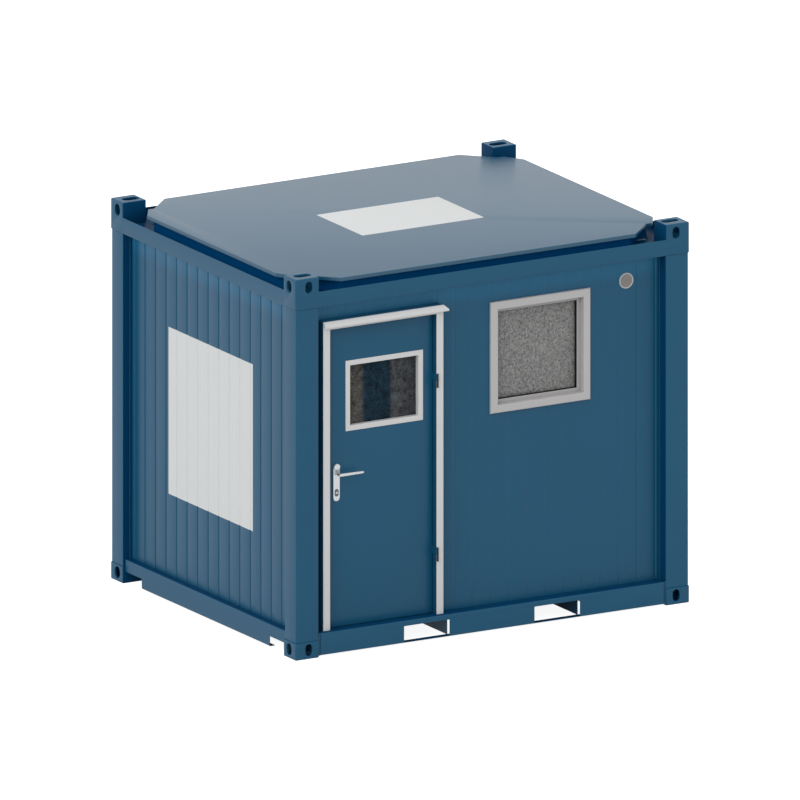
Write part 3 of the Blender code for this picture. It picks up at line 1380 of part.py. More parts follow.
# Washbasin with its quarter-turn tap
basin_left = INNER_X + GAP
basin = block(
    "washbasin", (basin_left, BASIN_Y - BASIN_HALF_WIDTH, BASIN_LOW),
    (basin_left + BASIN_REACH, BASIN_Y + BASIN_HALF_WIDTH, BASIN_TOP), CERAMIC,
)
bowl_x = (basin_left + BASIN_DECK, basin_left + BASIN_REACH - BASIN_RIM)
bowl_middle = ((bowl_x[0] + bowl_x[1]) / 2, BASIN_Y)


def bowl_ring(share, z):
    half_x = (bowl_x[1] - bowl_x[0]) / 2
    half_y = BASIN_HALF_WIDTH - BASIN_RIM
    turn = 360.0 * BASIN_BOWL_POINTS / (BASIN_BOWL_POINTS + 1)
    edge = arc(bowl_middle, share * half_x, share * half_y, 0.0, turn, BASIN_BOWL_POINTS)
    return [(x, y, z) for x, y in edge]


bowl_rings = [bowl_ring(1.0, BASIN_TOP + STEEL)]
bowl_rings += [bowl_ring(share, BASIN_TOP - drop) for share, drop in BASIN_BOWL_SHAPE]
bowl_rings.append(bowl_ring(BASIN_OUTLET, BASIN_TOP - BASIN_BOWL_DEPTH))
bowl = ring_stack("guide", bowl_rings, CERAMIC)
cut(basin, bowl)

tap_at = (basin_left + BASIN_DECK / 2, BASIN_Y)
tap_low = BASIN_TOP + GAP
tap = rod("basin_tap", "z", tap_at, TAP_RADIUS, tap_low, tap_low + TAP_HEIGHT, CHROME)
weld(tap, guide_block(
    (tap_at[0], BASIN_Y - SPOUT_HEIGHT / 2, tap_low + TAP_HEIGHT - 2 * SPOUT_HEIGHT),
    (tap_at[0] + SPOUT_REACH, BASIN_Y + SPOUT_HEIGHT / 2, tap_low + TAP_HEIGHT - SPOUT_HEIGHT),
))
lever_low = tap_low + TAP_HEIGHT + GAP
tap_lever = rod(
    "basin_tap_lever", "z", tap_at, TAP_RADIUS, lever_low, lever_low + SPOUT_HEIGHT, CHROME, SEGMENTS,
    (*tap_at, lever_low),
)
weld(tap_lever, guide_block(
    (tap_at[0], BASIN_Y - STEEL, lever_low + STEEL),
    (tap_at[0] + TAP_LEVER_LENGTH, BASIN_Y + STEEL, lever_low + 3 * STEEL),
))

# Shower tray, mixer with riser and head, and its lever
tray_x = inner_right - TRAY_SIDE_X
tray_y = inner_rear - TRAY_SIDE_Y
shower_tray = block(
    "shower_tray", (tray_x, tray_y, room_low),
    (inner_right, inner_rear, TRAY_HEIGHT + room_low), CERAMIC,
)
cut(shower_tray, guide_block(
    (tray_x + TRAY_RIM, tray_y + TRAY_RIM, room_low + TRAY_HEIGHT - TRAY_DISH),
    (inner_right - TRAY_RIM, inner_rear - TRAY_RIM, room_low + TRAY_HEIGHT + STEEL),
))

mixer_x = inner_right - MIXER_STAND_OFF
mixer_at = (mixer_x, MIXER_Z)
mixer = rod(
    "shower_mixer", "y", mixer_at, MIXER_RADIUS, MIXER_Y - MIXER_HALF, MIXER_Y + MIXER_HALF, CHROME
)
feed_radius = MIXER_RADIUS * MIXER_FEED_SHARE
for side in (-1, 1):
    feed_y = MIXER_Y + side * (MIXER_HALF - MIXER_RADIUS)
    weld(mixer, guide_prism(circle((feed_y, MIXER_Z), feed_radius, 12), "x", mixer_x, inner_right))
weld(
    mixer,
    guide_prism(circle((mixer_x, MIXER_Y), RISER_RADIUS, 12), "z", MIXER_Z, RISER_TOP),
    guide_prism(
        circle((MIXER_Y, RISER_TOP - RISER_RADIUS), RISER_RADIUS, 12), "x",
        mixer_x - SHOWER_HEAD_REACH, mixer_x + RISER_RADIUS / 2,
    ),
    guide_prism(
        circle((mixer_x - SHOWER_HEAD_REACH, MIXER_Y), SHOWER_HEAD_RADIUS, 20), "z",
        RISER_TOP - 4 * RISER_RADIUS, RISER_TOP - RISER_RADIUS,
    ),
)
mixer_end = MIXER_Y - MIXER_HALF - GAP
mixer_lever = rod(
    "shower_mixer_lever", "y", mixer_at, MIXER_RADIUS, mixer_end - 2 * MIXER_RADIUS, mixer_end, CHROME,
    SEGMENTS, (mixer_x, mixer_end, MIXER_Z),
)
weld(mixer_lever, guide_block(
    (mixer_x - STEEL, mixer_end - 1.5 * MIXER_RADIUS, MIXER_Z),
    (mixer_x + STEEL, mixer_end - 0.5 * MIXER_RADIUS, MIXER_Z + MIXER_LEVER_LENGTH),
))

# Water heater on the rear wall, with its flat mounting back
heater_y = inner_rear - HEATER_RADIUS - HEATER_WALL_GAP
heater = rod(
    "water_heater", "z", (HEATER_X, heater_y), HEATER_RADIUS, HEATER_LOW, HEATER_LOW + HEATER_HEIGHT,
    PLASTIC, 24,
)
weld(heater, guide_block(
    (HEATER_X - HEATER_RADIUS / 2, heater_y, HEATER_LOW + HEATER_RADIUS / 2),
    (HEATER_X + HEATER_RADIUS / 2, inner_rear, HEATER_LOW + HEATER_HEIGHT - HEATER_RADIUS / 2),
))
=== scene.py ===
"""Looks of the sanitary module: painted steel frame, grooved walls, glazed door and window, and fittings.

Metres, +Z up. Outlines are written from the front left bottom corner, as the part's source does.
"""

import math

import bpy
import numpy as np
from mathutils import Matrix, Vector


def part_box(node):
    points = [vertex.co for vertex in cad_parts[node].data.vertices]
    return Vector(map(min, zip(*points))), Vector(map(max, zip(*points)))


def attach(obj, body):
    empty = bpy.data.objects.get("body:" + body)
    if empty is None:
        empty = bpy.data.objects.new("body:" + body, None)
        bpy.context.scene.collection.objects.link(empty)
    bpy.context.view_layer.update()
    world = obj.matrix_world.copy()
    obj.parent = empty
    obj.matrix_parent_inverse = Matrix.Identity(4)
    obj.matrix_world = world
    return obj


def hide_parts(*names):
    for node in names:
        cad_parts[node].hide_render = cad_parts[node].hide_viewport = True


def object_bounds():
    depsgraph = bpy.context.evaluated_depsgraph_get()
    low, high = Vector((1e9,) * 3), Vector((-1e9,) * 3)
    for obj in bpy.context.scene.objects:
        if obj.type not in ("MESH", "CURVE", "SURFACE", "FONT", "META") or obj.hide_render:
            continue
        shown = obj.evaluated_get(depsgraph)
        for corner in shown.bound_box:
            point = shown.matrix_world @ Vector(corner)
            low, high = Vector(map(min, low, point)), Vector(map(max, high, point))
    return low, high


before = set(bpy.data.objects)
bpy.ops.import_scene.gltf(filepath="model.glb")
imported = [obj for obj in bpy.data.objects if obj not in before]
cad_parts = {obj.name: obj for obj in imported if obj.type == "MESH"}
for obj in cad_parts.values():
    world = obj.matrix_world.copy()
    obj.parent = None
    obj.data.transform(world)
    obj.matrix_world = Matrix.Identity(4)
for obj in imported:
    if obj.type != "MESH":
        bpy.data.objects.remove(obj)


def box_lists():
    """The two corners of the box round everything, as plain lists."""
    return [[float(value) for value in corner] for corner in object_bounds()]


cad_box = box_lists()

# Camera
# A parallel view of the front left corner, 30 degrees round and 15 degrees up, as in the photograph.
CAMERA_AZIMUTH = math.radians(-30.0)
CAMERA_ELEVATION = math.radians(15.0)
CAMERA_DISTANCE = 14.0
PIXELS_PER_METRE = 152.1
IMAGE_PIXELS = 800


def stand(name, data):
    """A new object in the scene."""
    made = bpy.data.objects.new(name, data)
    bpy.context.scene.collection.objects.link(made)
    return made


camera_data = bpy.data.cameras.new("photo_view")
camera_data.type = "ORTHO"
camera_data.ortho_scale = IMAGE_PIXELS / PIXELS_PER_METRE
camera = stand("photo_view", camera_data)
module_low, module_high = np.array(cad_box)
sight = np.array([
    math.sin(CAMERA_AZIMUTH) * math.cos(CAMERA_ELEVATION),
    -math.cos(CAMERA_AZIMUTH) * math.cos(CAMERA_ELEVATION),
    math.sin(CAMERA_ELEVATION),
])
camera.location = (module_low + module_high) / 2 + sight * CAMERA_DISTANCE
camera.rotation_euler = (math.pi / 2 - CAMERA_ELEVATION, 0.0, CAMERA_AZIMUTH)
bpy.context.scene.camera = camera
bpy.context.scene.view_settings.view_transform = "Standard"

# Studio
# A white room: a pale floor, an even sky and one broad soft lamp from the left.
SKY_LEVEL = 0.80
SUN_LEVEL = 0.85
SUN_SOFTNESS = math.radians(50.0)
SUN_TILT = (math.radians(52.0), 0.0, math.radians(-62.0))
FLOOR_SIZE = 60.0
FLOOR_COLOUR = (0.62, 0.62, 0.62)
FLOOR_GLOW = 0.50
FLOOR_WHITE = 0.40
WHITE = (1.0, 1.0, 1.0, 1.0)
SEEN_RAYS = ("Is Camera Ray", "Is Glossy Ray", "Is Transmission Ray")


def feed(tree, node, values):
    """Sets a node's inputs, by name or in order. Each value is plain or the socket that it comes from."""
    for key, value in values.items() if isinstance(values, dict) else enumerate(values):
        if isinstance(value, bpy.types.NodeSocket):
            tree.links.new(value, node.inputs[key])
        else:
            node.inputs[key].default_value = value


def step(tree, kind, values=(), **settings):
    """A new shader node of a kind, with its settings and its inputs."""
    node = tree.nodes.new(kind)
    for name, setting in settings.items():
        setattr(node, name, setting)
    feed(tree, node, values)
    return node


def reckon(tree, operation, *values):
    """The result of a maths node."""
    return step(tree, "ShaderNodeMath", values, operation=operation).outputs[0]


def seen_ray(tree, rays):
    """One where a ray is of any of the named kinds, else zero: the largest of Light Path's outputs."""
    path = step(tree, "ShaderNodeLightPath").outputs
    value = path[rays[0]]
    for ray in rays[1:]:
        value = reckon(tree, "MAXIMUM", value, path[ray])
    return value


def new_look(name):
    """A material with its node tree and its shader."""
    look = bpy.data.materials.new(name)
    look.use_nodes = True
    return look, look.node_tree, look.node_tree.nodes["Principled BSDF"]


world = bpy.data.worlds.new("white_room")
bpy.context.scene.world = world
world.use_nodes = True
sky = world.node_tree
level = step(
    sky, "ShaderNodeMapRange", {"Value": seen_ray(sky, SEEN_RAYS), "To Min": SKY_LEVEL, "To Max": 1.0}
)
feed(sky, sky.nodes["Background"], {"Color": WHITE, "Strength": level.outputs["Result"]})

sun_data = bpy.data.lights.new("soft_lamp", "SUN")
sun_data.energy = SUN_LEVEL
sun_data.angle = SUN_SOFTNESS
sun = stand("soft_lamp", sun_data)
sun.rotation_euler = SUN_TILT
sun.visible_glossy = False

half_floor = FLOOR_SIZE / 2
floor_mesh = bpy.data.meshes.new("studio_floor")
floor_mesh.from_pydata(
    [(-half_floor, -half_floor, 0), (half_floor, -half_floor, 0),
     (half_floor, half_floor, 0), (-half_floor, half_floor, 0)],
    [], [(0, 1, 2, 3)],
)
floor = stand("studio_floor", floor_mesh)
floor_look, floor_tree, floor_shader = new_look("studio_floor")
floor_glow = reckon(floor_tree, "MULTIPLY", seen_ray(floor_tree, SEEN_RAYS), FLOOR_GLOW)
floor_glow = reckon(floor_tree, "MULTIPLY_ADD", seen_ray(floor_tree, SEEN_RAYS[:1]), FLOOR_WHITE, floor_glow)
feed(floor_tree, floor_shader, {
    "Base Color": (*FLOOR_COLOUR, 1.0), "Roughness": 1.0, "Specular IOR Level": 0.0,
    "Emission Color": WHITE, "Emission Strength": floor_glow,
})
floor_mesh.materials.append(floor_look)

# Corner posts
# A folded steel post stands between two castings and closes on the walls with a return. It is welded on and
# painted in semi-gloss deep blue, with a faint mottle in the colour and a fine orange-peel skin.
LENGTH, WIDTH, HEIGHT = module_high - module_low
CORNER = np.array([module_low[0], module_low[1], 0.0])
STEEL = 0.004
BEND = 0.007
BEND_STEPS = 4
INNER_BEND = 0.003
SHEET_EDGE = 0.001
SHARP = 0.00001
EDGE_SHARE = 0.45
CASTING_X, CASTING_Y, CASTING_Z = 0.178, 0.162, 0.118
FACE_STEP = 0.005
POST_SIDE_FACE = 0.155
POST_FLANGE = 0.0085
POST_RETURN = 0.015
FRONT_WALL_Y = 0.094
SIDE_WALL_X = 0.070
JOINT = 0.0003
SMOOTH_BELOW = math.radians(32.0)
# Painted shade and painted light of the coat group: ledges and inward faces are darkened and lose gloss, and
# the band under the roof rail is lightened.
LEDGE_SLOPE = 0.6
LEDGES_BELOW = 2.46
PAINTED_LIGHT_BAND = (2.20, 2.38)
PAINTED_SHADE_TINT = (0.30, 0.55, 0.72)
GLOSS, SHADED_GLOSS = 0.50, 0.05
SKIN_DEPTH = 0.001


def group_of(name, inputs, outputs):
    """A shader node group with its sockets, given as names and kinds: itself, its inputs, its result."""
    group = bpy.data.node_groups.new(name, "ShaderNodeTree")
    for side, sockets in (("INPUT", inputs), ("OUTPUT", outputs)):
        for socket, kind in sockets.items():
            group.interface.new_socket(socket, in_out=side, socket_type=kind)
    return group, group.nodes.new("NodeGroupInput").outputs, group.nodes.new("NodeGroupOutput")


def coat_group():
    """Colour, roughness, normal and gloss of a coated surface, from Object space.

    A broad noise shifts colour and roughness, a fine one the normal. Painted shade: ledges below a height,
    and faces that look towards the module's middle, are darkened and lose gloss. Painted light: colour is
    lifted between two heights, just under the roof rail, by a smooth step.
    """
    amounts = ("Rough", "Mottle Scale", "Mottle", "Grain Scale", "Grain", "Painted Shade", "Painted Light")
    group, given, result = group_of(
        "coat", {"Colour": "NodeSocketColor", **dict.fromkeys(amounts, "NodeSocketFloat")},
        {"Colour": "NodeSocketColor", "Roughness": "NodeSocketFloat", "Normal": "NodeSocketVector",
         "Gloss": "NodeSocketFloat"},
    )
    place = step(group, "ShaderNodeTexCoord").outputs
    broad, fine = (
        step(group, "ShaderNodeTexNoise", {"Vector": place["Object"], "Scale": given[scale], "Detail": 3.0})
        for scale in ("Mottle Scale", "Grain Scale")
    )
    spot, facing = (
        step(group, "ShaderNodeSeparateXYZ", [place[kind]]).outputs for kind in ("Object", "Normal")
    )
    # Painted shade: a mask of faces looking towards the module's middle and of upward ledges below a height.
    inward = reckon(group, "MINIMUM", *(
        reckon(group, "MULTIPLY", facing[axis], reckon(group, "SIGN", spot[axis])) for axis in "XY"
    ))
    ledge = reckon(group, "MULTIPLY", reckon(group, "GREATER_THAN", facing["Z"], LEDGE_SLOPE),
                   reckon(group, "LESS_THAN", spot["Z"], LEDGES_BELOW))
    sheltered = reckon(group, "MAXIMUM", ledge, reckon(group, "LESS_THAN", inward, -LEDGE_SLOPE))
    shade_mask = reckon(group, "MULTIPLY", sheltered, given["Painted Shade"])
    # Painted light: a smooth step lifts the colour in the band just under the roof rail.
    head = step(
        group, "ShaderNodeMapRange",
        {"Value": spot["Z"], "From Min": PAINTED_LIGHT_BAND[0], "From Max": PAINTED_LIGHT_BAND[1]},
        interpolation_type="SMOOTHSTEP",
    )
    shift = reckon(group, "SUBTRACT", broad.outputs["Fac"], 0.5)
    factor = reckon(group, "MULTIPLY_ADD", shift, given["Mottle"], 1.0)
    lifted = reckon(group, "MULTIPLY_ADD", head.outputs["Result"], given["Painted Light"], factor)
    tint = step(group, "ShaderNodeVectorMath", {0: given["Colour"], "Scale": lifted}, operation="SCALE")
    darker = step(
        group, "ShaderNodeVectorMath", (tint.outputs["Vector"], PAINTED_SHADE_TINT), operation="MULTIPLY"
    )
    chosen = step(
        group, "ShaderNodeMix", {0: shade_mask, 6: tint.outputs["Vector"], 7: darker.outputs["Vector"]},
        data_type="RGBA",
    )
    bump = step(
        group, "ShaderNodeBump",
        {"Distance": SKIN_DEPTH, "Height": fine.outputs["Fac"], "Strength": given["Grain"]},
    )
    feed(group, result, {
        "Colour": chosen.outputs[2],
        "Roughness": reckon(group, "MULTIPLY", given["Rough"], factor),
        "Gloss": reckon(group, "MULTIPLY_ADD", shade_mask, SHADED_GLOSS - GLOSS, GLOSS),
        "Normal": bump.outputs["Normal"],
    })
    return group


COAT = coat_group()


def coated(
    name, colour, rough, metallic=0.0, ior=1.5, mottle=(3.0, 0.08), grain=(400.0, 0.05), painted_shade=0.0, head=0.0
):
    """A material whose colour, roughness and normal come from the coat group, and its gloss too where it
    paints shade. Its shade amount paints shade into ledges and inward faces, its light amount paints light
    just under the roof rail. Scales are per metre.
    """
    look, tree, shader = new_look(name)
    coat = step(tree, "ShaderNodeGroup", {
        "Colour": (*colour, 1.0), "Rough": rough, "Mottle Scale": mottle[0], "Mottle": mottle[1],
        "Grain Scale": grain[0], "Grain": grain[1], "Painted Shade": painted_shade, "Painted Light": head,
    }, node_tree=COAT).outputs
    feed(tree, shader, {
        "Base Color": coat["Colour"], "Roughness": coat["Roughness"], "Normal": coat["Normal"],
        "Metallic": metallic, "IOR": ior,
    })
    # Painted shade also lowers the gloss, so shaded places show less reflection.
    if painted_shade:
        feed(tree, shader, {"Specular IOR Level": coat["Gloss"]})
    return look


def soften(outline, radius, steps=BEND_STEPS):
    """Each corner of a closed outline becomes an arc tangent to both edges, no longer than they allow."""
    corner = np.asarray(outline, float)
    before = np.roll(corner, 1, axis=0) - corner
    after = np.roll(corner, -1, axis=0) - corner
    before_length, after_length = (
        np.linalg.norm(edge, axis=1, keepdims=True) for edge in (before, after)
    )
    before /= before_length
    after /= after_length
    turn = np.arccos(np.clip((before * after).sum(axis=1, keepdims=True), -0.9999, 0.9999))
    radius = np.broadcast_to(np.asarray(radius, float).reshape(-1, 1), turn.shape)
    reach = np.minimum(radius / np.tan(turn / 2), EDGE_SHARE * np.minimum(before_length, after_length))
    radius = reach * np.tan(turn / 2)
    bisector = before + after
    bisector /= np.linalg.norm(bisector, axis=1, keepdims=True)
    centre = corner + bisector * radius / np.sin(turn / 2)
    start = corner + before * reach - centre
    end = corner + after * reach - centre
    share = np.linspace(0.0, 1.0, steps + 1).reshape(-1, 1, 1)
    spoke = start * (1 - share) + end * share
    spoke *= radius / np.linalg.norm(spoke, axis=2, keepdims=True)
    return (centre + spoke).transpose(1, 0, 2).reshape(-1, 2)


def lift(flat, along, axis):
    """The 3-D points of a flat outline at a distance along the named axis."""
    return np.insert(np.asarray(flat, float), "xyz".index(axis), along, axis=1)


def shell(rings, loop=False):
    """Rings of equal count joined by quads and closed by two caps, or into a loop, with the faces outwards.

    The sign of its volume, summed over the faces as seen from its middle, says which way they look.
    """
    rings = np.asarray(rings, float)
    rows, count = rings.shape[:2]
    index = np.arange(rows * count).reshape(rows, count)
    if loop:
        index = np.vstack([index, index[:1]])
    here, there = index[:-1], index[1:]
    quads = np.stack([here, np.roll(here, -1, 1), np.roll(there, -1, 1), there], axis=-1).reshape(-1, 4)
    faces = quads.tolist()
    points = rings.reshape(-1, 3)
    middle = points.mean(axis=0)
    a, b, c, d = (points[quads[:, side]] - middle for side in range(4))
    volume = (a * np.cross(b, c)).sum() + (a * np.cross(c, d)).sum()
    if not loop:
        ends = [index[0][::-1], index[-1]]
        for end in ends:
            ring = points[end] - middle
            volume += float(ring.mean(axis=0) @ np.cross(ring, np.roll(ring, -1, axis=0)).sum(axis=0))
        faces += [end.tolist() for end in ends]
    if volume < 0:
        faces = [face[::-1] for face in faces]
    return points, faces


def mesh_of(name, shells):
    """A mesh of the shells, moved from the corner to the module's middle."""
    points, faces, used = [], [], 0
    for skin_points, skin_faces in shells:
        points.append(skin_points)
        faces += [[corner + used for corner in face] for face in skin_faces]
        used += len(skin_points)
    mesh = bpy.data.meshes.new(name)
    mesh.from_pydata((np.vstack(points) + CORNER).tolist(), [], faces)
    return shaded(mesh)


def shaded(mesh):
    """The mesh, smooth wherever its faces meet below an angle."""
    mesh.shade_smooth()
    mesh.set_sharp_from_angle(angle=SMOOTH_BELOW)
    return mesh


def piece(name, shells, look, slot, body="module", node=None):
    """A finished piece of one material, riding on a body, and standing for a node if one is named."""
    mesh = mesh_of(name, shells)
    mesh.materials.append(look)
    made = stand(name, mesh)
    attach(made, body)
    if node:
        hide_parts(node)
    return made


def placed(skin, right=False, rear=False):
    """A shell of the front left corner, or its mirror image at the right end or the rear face."""
    points, faces = skin
    points = points.copy()
    if right:
        points[:, 0] = LENGTH - points[:, 0]
    if rear:
        points[:, 1] = WIDTH - points[:, 1]
    if right != rear:
        faces = [face[::-1] for face in faces]
    return points, faces


# The frame's paint carries painted shade: ledges and faces turned towards the module's middle are darkened
# and lose gloss.
FRAME_BLUE = coated(
    "frame_paint", (0.0068, 0.089, 0.175), 0.36, ior=1.36, mottle=(2.5, 0.10), grain=(260.0, 0.10), painted_shade=1.0
)
CORNERS = {
    "front_left": (False, False), "front_right": (True, False),
    "rear_left": (False, True), "rear_right": (True, True),
}
flange_x, flange_y = SIDE_WALL_X - POST_RETURN, FRONT_WALL_Y - POST_RETURN
end_x, end_y = CASTING_X + POST_FLANGE, POST_SIDE_FACE + POST_FLANGE
post_points = [
    (end_x, FRONT_WALL_Y, 0.0), (end_x, flange_y, SHEET_EDGE), (CASTING_X, flange_y, SHEET_EDGE),
    (CASTING_X, FACE_STEP, BEND), (FACE_STEP, FACE_STEP, BEND), (FACE_STEP, POST_SIDE_FACE, BEND),
    (flange_x, POST_SIDE_FACE, SHEET_EDGE), (flange_x, end_y, SHEET_EDGE), (SIDE_WALL_X, end_y, 0.0),
    (SIDE_WALL_X, end_y - STEEL, 0.0), (flange_x + STEEL, end_y - STEEL, SHEET_EDGE),
    (flange_x + STEEL, POST_SIDE_FACE - STEEL, SHEET_EDGE),
    (FACE_STEP + STEEL, POST_SIDE_FACE - STEEL, INNER_BEND),
    (FACE_STEP + STEEL, FACE_STEP + STEEL, INNER_BEND), (CASTING_X - STEEL, FACE_STEP + STEEL, INNER_BEND),
    (CASTING_X - STEEL, flange_y + STEEL, SHEET_EDGE), (end_x - STEEL, flange_y + STEEL, SHEET_EDGE),
    (end_x - STEEL, FRONT_WALL_Y, 0.0),
]
post_radii = [radius if radius == BEND else radius + SHARP for _, _, radius in post_points]
post_line = soften([(x, y) for x, y, _ in post_points], post_radii)
for name, (right, rear) in CORNERS.items():
    low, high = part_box("corner_post_" + name)
    stem = shell([lift(post_line, low.z, "z"), lift(post_line, high.z, "z")])
    piece("post_" + name, [placed(stem, right, rear)], FRAME_BLUE, "frame_paint", node="corner_post_" + name)

# Long rails and castings
# The front and rear rails of the floor and roof frames are cold-formed channels, welded between hollow
# cast corners with oval lifting holes. The floor rails are open for a fork-lift truck.
FLOOR_TOP = 0.165
FLOOR_LOW = 0.012
ROOF_RAIL_LOW = 2.380
ROOF_RAIL_TOP = 2.490
WALL_THICK = 0.060
LOW_FLANGE = 0.050
GUTTER_FLOOR = ROOF_RAIL_TOP - 0.051
GUTTER_PLATE = 0.245
GUTTER_EDGE = 0.0012
POCKET_WIDTH = 0.346
POCKET_FROM_MIDDLE = 0.495
POCKET_LOW, POCKET_TOP = 0.017, 0.126
POCKET_ROUND, POCKET_LIP = 0.005, 0.0015
CASTING_WALL = 0.014
CASTING_ROUND = 0.008
CASTING_WEB = 0.040
HOLE_X, HOLE_Y, HOLE_RISE = 0.101, 0.089, 0.062
HOLE_HEIGHT = 0.080
HOLE_DEPTH = 1.5 * CASTING_WALL
FRONT_HOLE, END_HOLE = 0.052, 0.064
SLOT_LENGTH, SLOT_WIDTH = 0.124, 0.063
HOLE_EDGE = 0.003


def rectangle(a0, b0, a1, b1):
    """The outline of a rectangle between two corners."""
    return np.array([(a0, b0), (a1, b0), (a1, b1), (a0, b1)], float)


def inset(outline, amount):
    """Moves every corner of a closed outline inwards by the same distance from both of its edges."""
    outline = np.asarray(outline, float)
    edge = np.roll(outline, -1, axis=0) - outline
    edge /= np.linalg.norm(edge, axis=1, keepdims=True)
    x, y = outline.T
    area = (x * np.roll(y, -1) - y * np.roll(x, -1)).sum()
    normal = np.stack([-edge[:, 1], edge[:, 0]], axis=1) * (1.0 if area > 0 else -1.0)
    previous = np.roll(normal, 1, axis=0)
    joined_edges = 1.0 + (normal * previous).sum(axis=1, keepdims=True)
    return outline + amount * (normal + previous) / np.maximum(joined_edges, 0.2)


def prism(outline, axis, start, end, radius=0.0, steps=3):
    """An outline carried along an axis. Each end edge is a quarter circle, drawn in as it nears the end."""
    if radius <= 0.0:
        return shell([lift(outline, start, axis), lift(outline, end, axis)])
    angle = np.linspace(0.0, math.pi / 2, steps + 1)
    insets, rises = radius * (1 - np.sin(angle)), radius * (1 - np.cos(angle))
    rings = [lift(inset(outline, draw), start + rise, axis) for draw, rise in zip(insets, rises)]
    rings += [lift(inset(outline, draw), end - rise, axis) for draw, rise in zip(insets[::-1], rises[::-1])]
    return shell(rings)


def slab(low, high, axis="z", corner=0.002, edge=0.002):
    """A rounded box between two corners, carried along an axis."""
    along = "xyz".index(axis)
    flat_low, flat_high = np.delete(low, along), np.delete(high, along)
    outline = soften(rectangle(*flat_low, *flat_high), corner, steps=3)
    return prism(outline, axis, low[along], high[along], edge)


def dent(target, cutters):
    """Cuts shells out of a piece with an exact Boolean, applied to its mesh at once."""
    tool = stand("tool", mesh_of("tool", cutters))
    cut = target.modifiers.new("cut", "BOOLEAN")
    cut.operation = "DIFFERENCE"
    cut.solver = "EXACT"
    cut.object = tool
    look = target.data.materials[0]
    graph = bpy.context.evaluated_depsgraph_get()
    cut_mesh = bpy.data.meshes.new_from_object(target.evaluated_get(graph))
    target.modifiers.clear()
    cut_mesh.materials.clear()
    cut_mesh.materials.append(look)
    target.data = shaded(cut_mesh)
    bpy.data.objects.remove(tool)


def channel(back, top_reach, low_reach, low, high):
    """A C section seen from its end: the web outermost, two flanges running inwards, bends rounded."""
    line = [
        (back, low), (low_reach, low), (low_reach, low + STEEL), (back + STEEL, low + STEEL),
        (back + STEEL, high - STEEL), (top_reach, high - STEEL), (top_reach, high), (back, high),
    ]
    half = [BEND, SHEET_EDGE, SHEET_EDGE, INNER_BEND]
    return soften(line, half + half[::-1])


def guttered(plate_reach, low_reach):
    """A roof rail seen from its end: an upright web, the gutter's plate below its top edge, a low flange."""
    low, floor_z, high = ROOF_RAIL_LOW, GUTTER_FLOOR, ROOF_RAIL_TOP
    line = [
        (0.0, low), (low_reach, low), (low_reach, low + STEEL), (STEEL, low + STEEL),
        (STEEL, floor_z - STEEL), (plate_reach, floor_z - STEEL), (plate_reach, floor_z), (STEEL, floor_z),
        (STEEL, high), (0.0, high),
    ]
    half = [SHEET_EDGE, SHEET_EDGE, INNER_BEND]
    return soften(line, [BEND] + half + half[::-1] + [INNER_BEND, GUTTER_EDGE, GUTTER_EDGE])


def round_of(middle, radius, count=32):
    """A circle of points about a middle."""
    turn = np.linspace(0.0, 2 * math.pi, count, endpoint=False)
    return np.stack([np.cos(turn), np.sin(turn)], 1) * radius + np.asarray(middle, float)


def oval(middle, width, height, steps=10):
    """A slot outline with full-round ends, longer along its second axis."""
    radius = width / 2
    turn = np.linspace(0.0, math.pi, steps + 1)
    top = np.stack([radius * np.cos(turn), height / 2 - radius + radius * np.sin(turn)], 1)
    return np.vstack([top, -top]) + np.asarray(middle)


def flared(outline, axis, outside, inside, lip=HOLE_EDGE, steps=4):
    """A hole's cutter: the outline, widening in a quarter circle as it reaches the outer face."""
    outward = math.copysign(1.0, outside - inside)
    rings = [lift(outline, inside, axis)]
    for turn in np.linspace(0.0, math.pi / 2, steps + 1):
        wider = inset(outline, -lip * (1 - math.cos(turn)))
        rings.append(lift(wider, outside - outward * lip * (1 - math.sin(turn)), axis))
    rings.append(lift(inset(outline, -lip), outside + outward * lip, axis))
    return shell(rings)


def casting(low, high, hole_z, slot_z, webbed):
    """The block of one corner and the cutters for its cavity, its two side holes and its slot.

    In a webbed one an upright wall parts the cavity between the long side's hole and the slot.
    """
    outline = soften(rectangle(0, 0, CASTING_X, CASTING_Y), CASTING_ROUND)
    body = prism(outline, "z", low, high, CASTING_ROUND, steps=4)
    wall = CASTING_WALL
    cavity_low = max(low, hole_z - HOLE_RISE, hole_z + HOLE_RISE - CASTING_Z) + wall
    cavity_high = cavity_low + CASTING_Z - 2 * wall
    edges = (wall, CASTING_WEB, CASTING_WEB + wall, CASTING_Y - wall) if webbed else (wall, CASTING_Y - wall)
    cutters = [
        prism(rectangle(wall, near, CASTING_X - wall, far), "z", cavity_low, cavity_high)
        for near, far in zip(edges[::2], edges[1::2])
    ]
    for across, width, axis in ((HOLE_X, FRONT_HOLE, "y"), (HOLE_Y, END_HOLE, "x")):
        cutters.append(flared(oval((across, hole_z), width, HOLE_HEIGHT), axis, 0.0, HOLE_DEPTH))
    long_slot = oval((0.0, 0.0), SLOT_WIDTH, SLOT_LENGTH)[:, ::-1] + np.array([HOLE_X, HOLE_Y])
    inward = HOLE_DEPTH if slot_z < hole_z else -HOLE_DEPTH
    cutters.append(flared(long_slot, "z", slot_z, slot_z + inward))
    return body, cutters


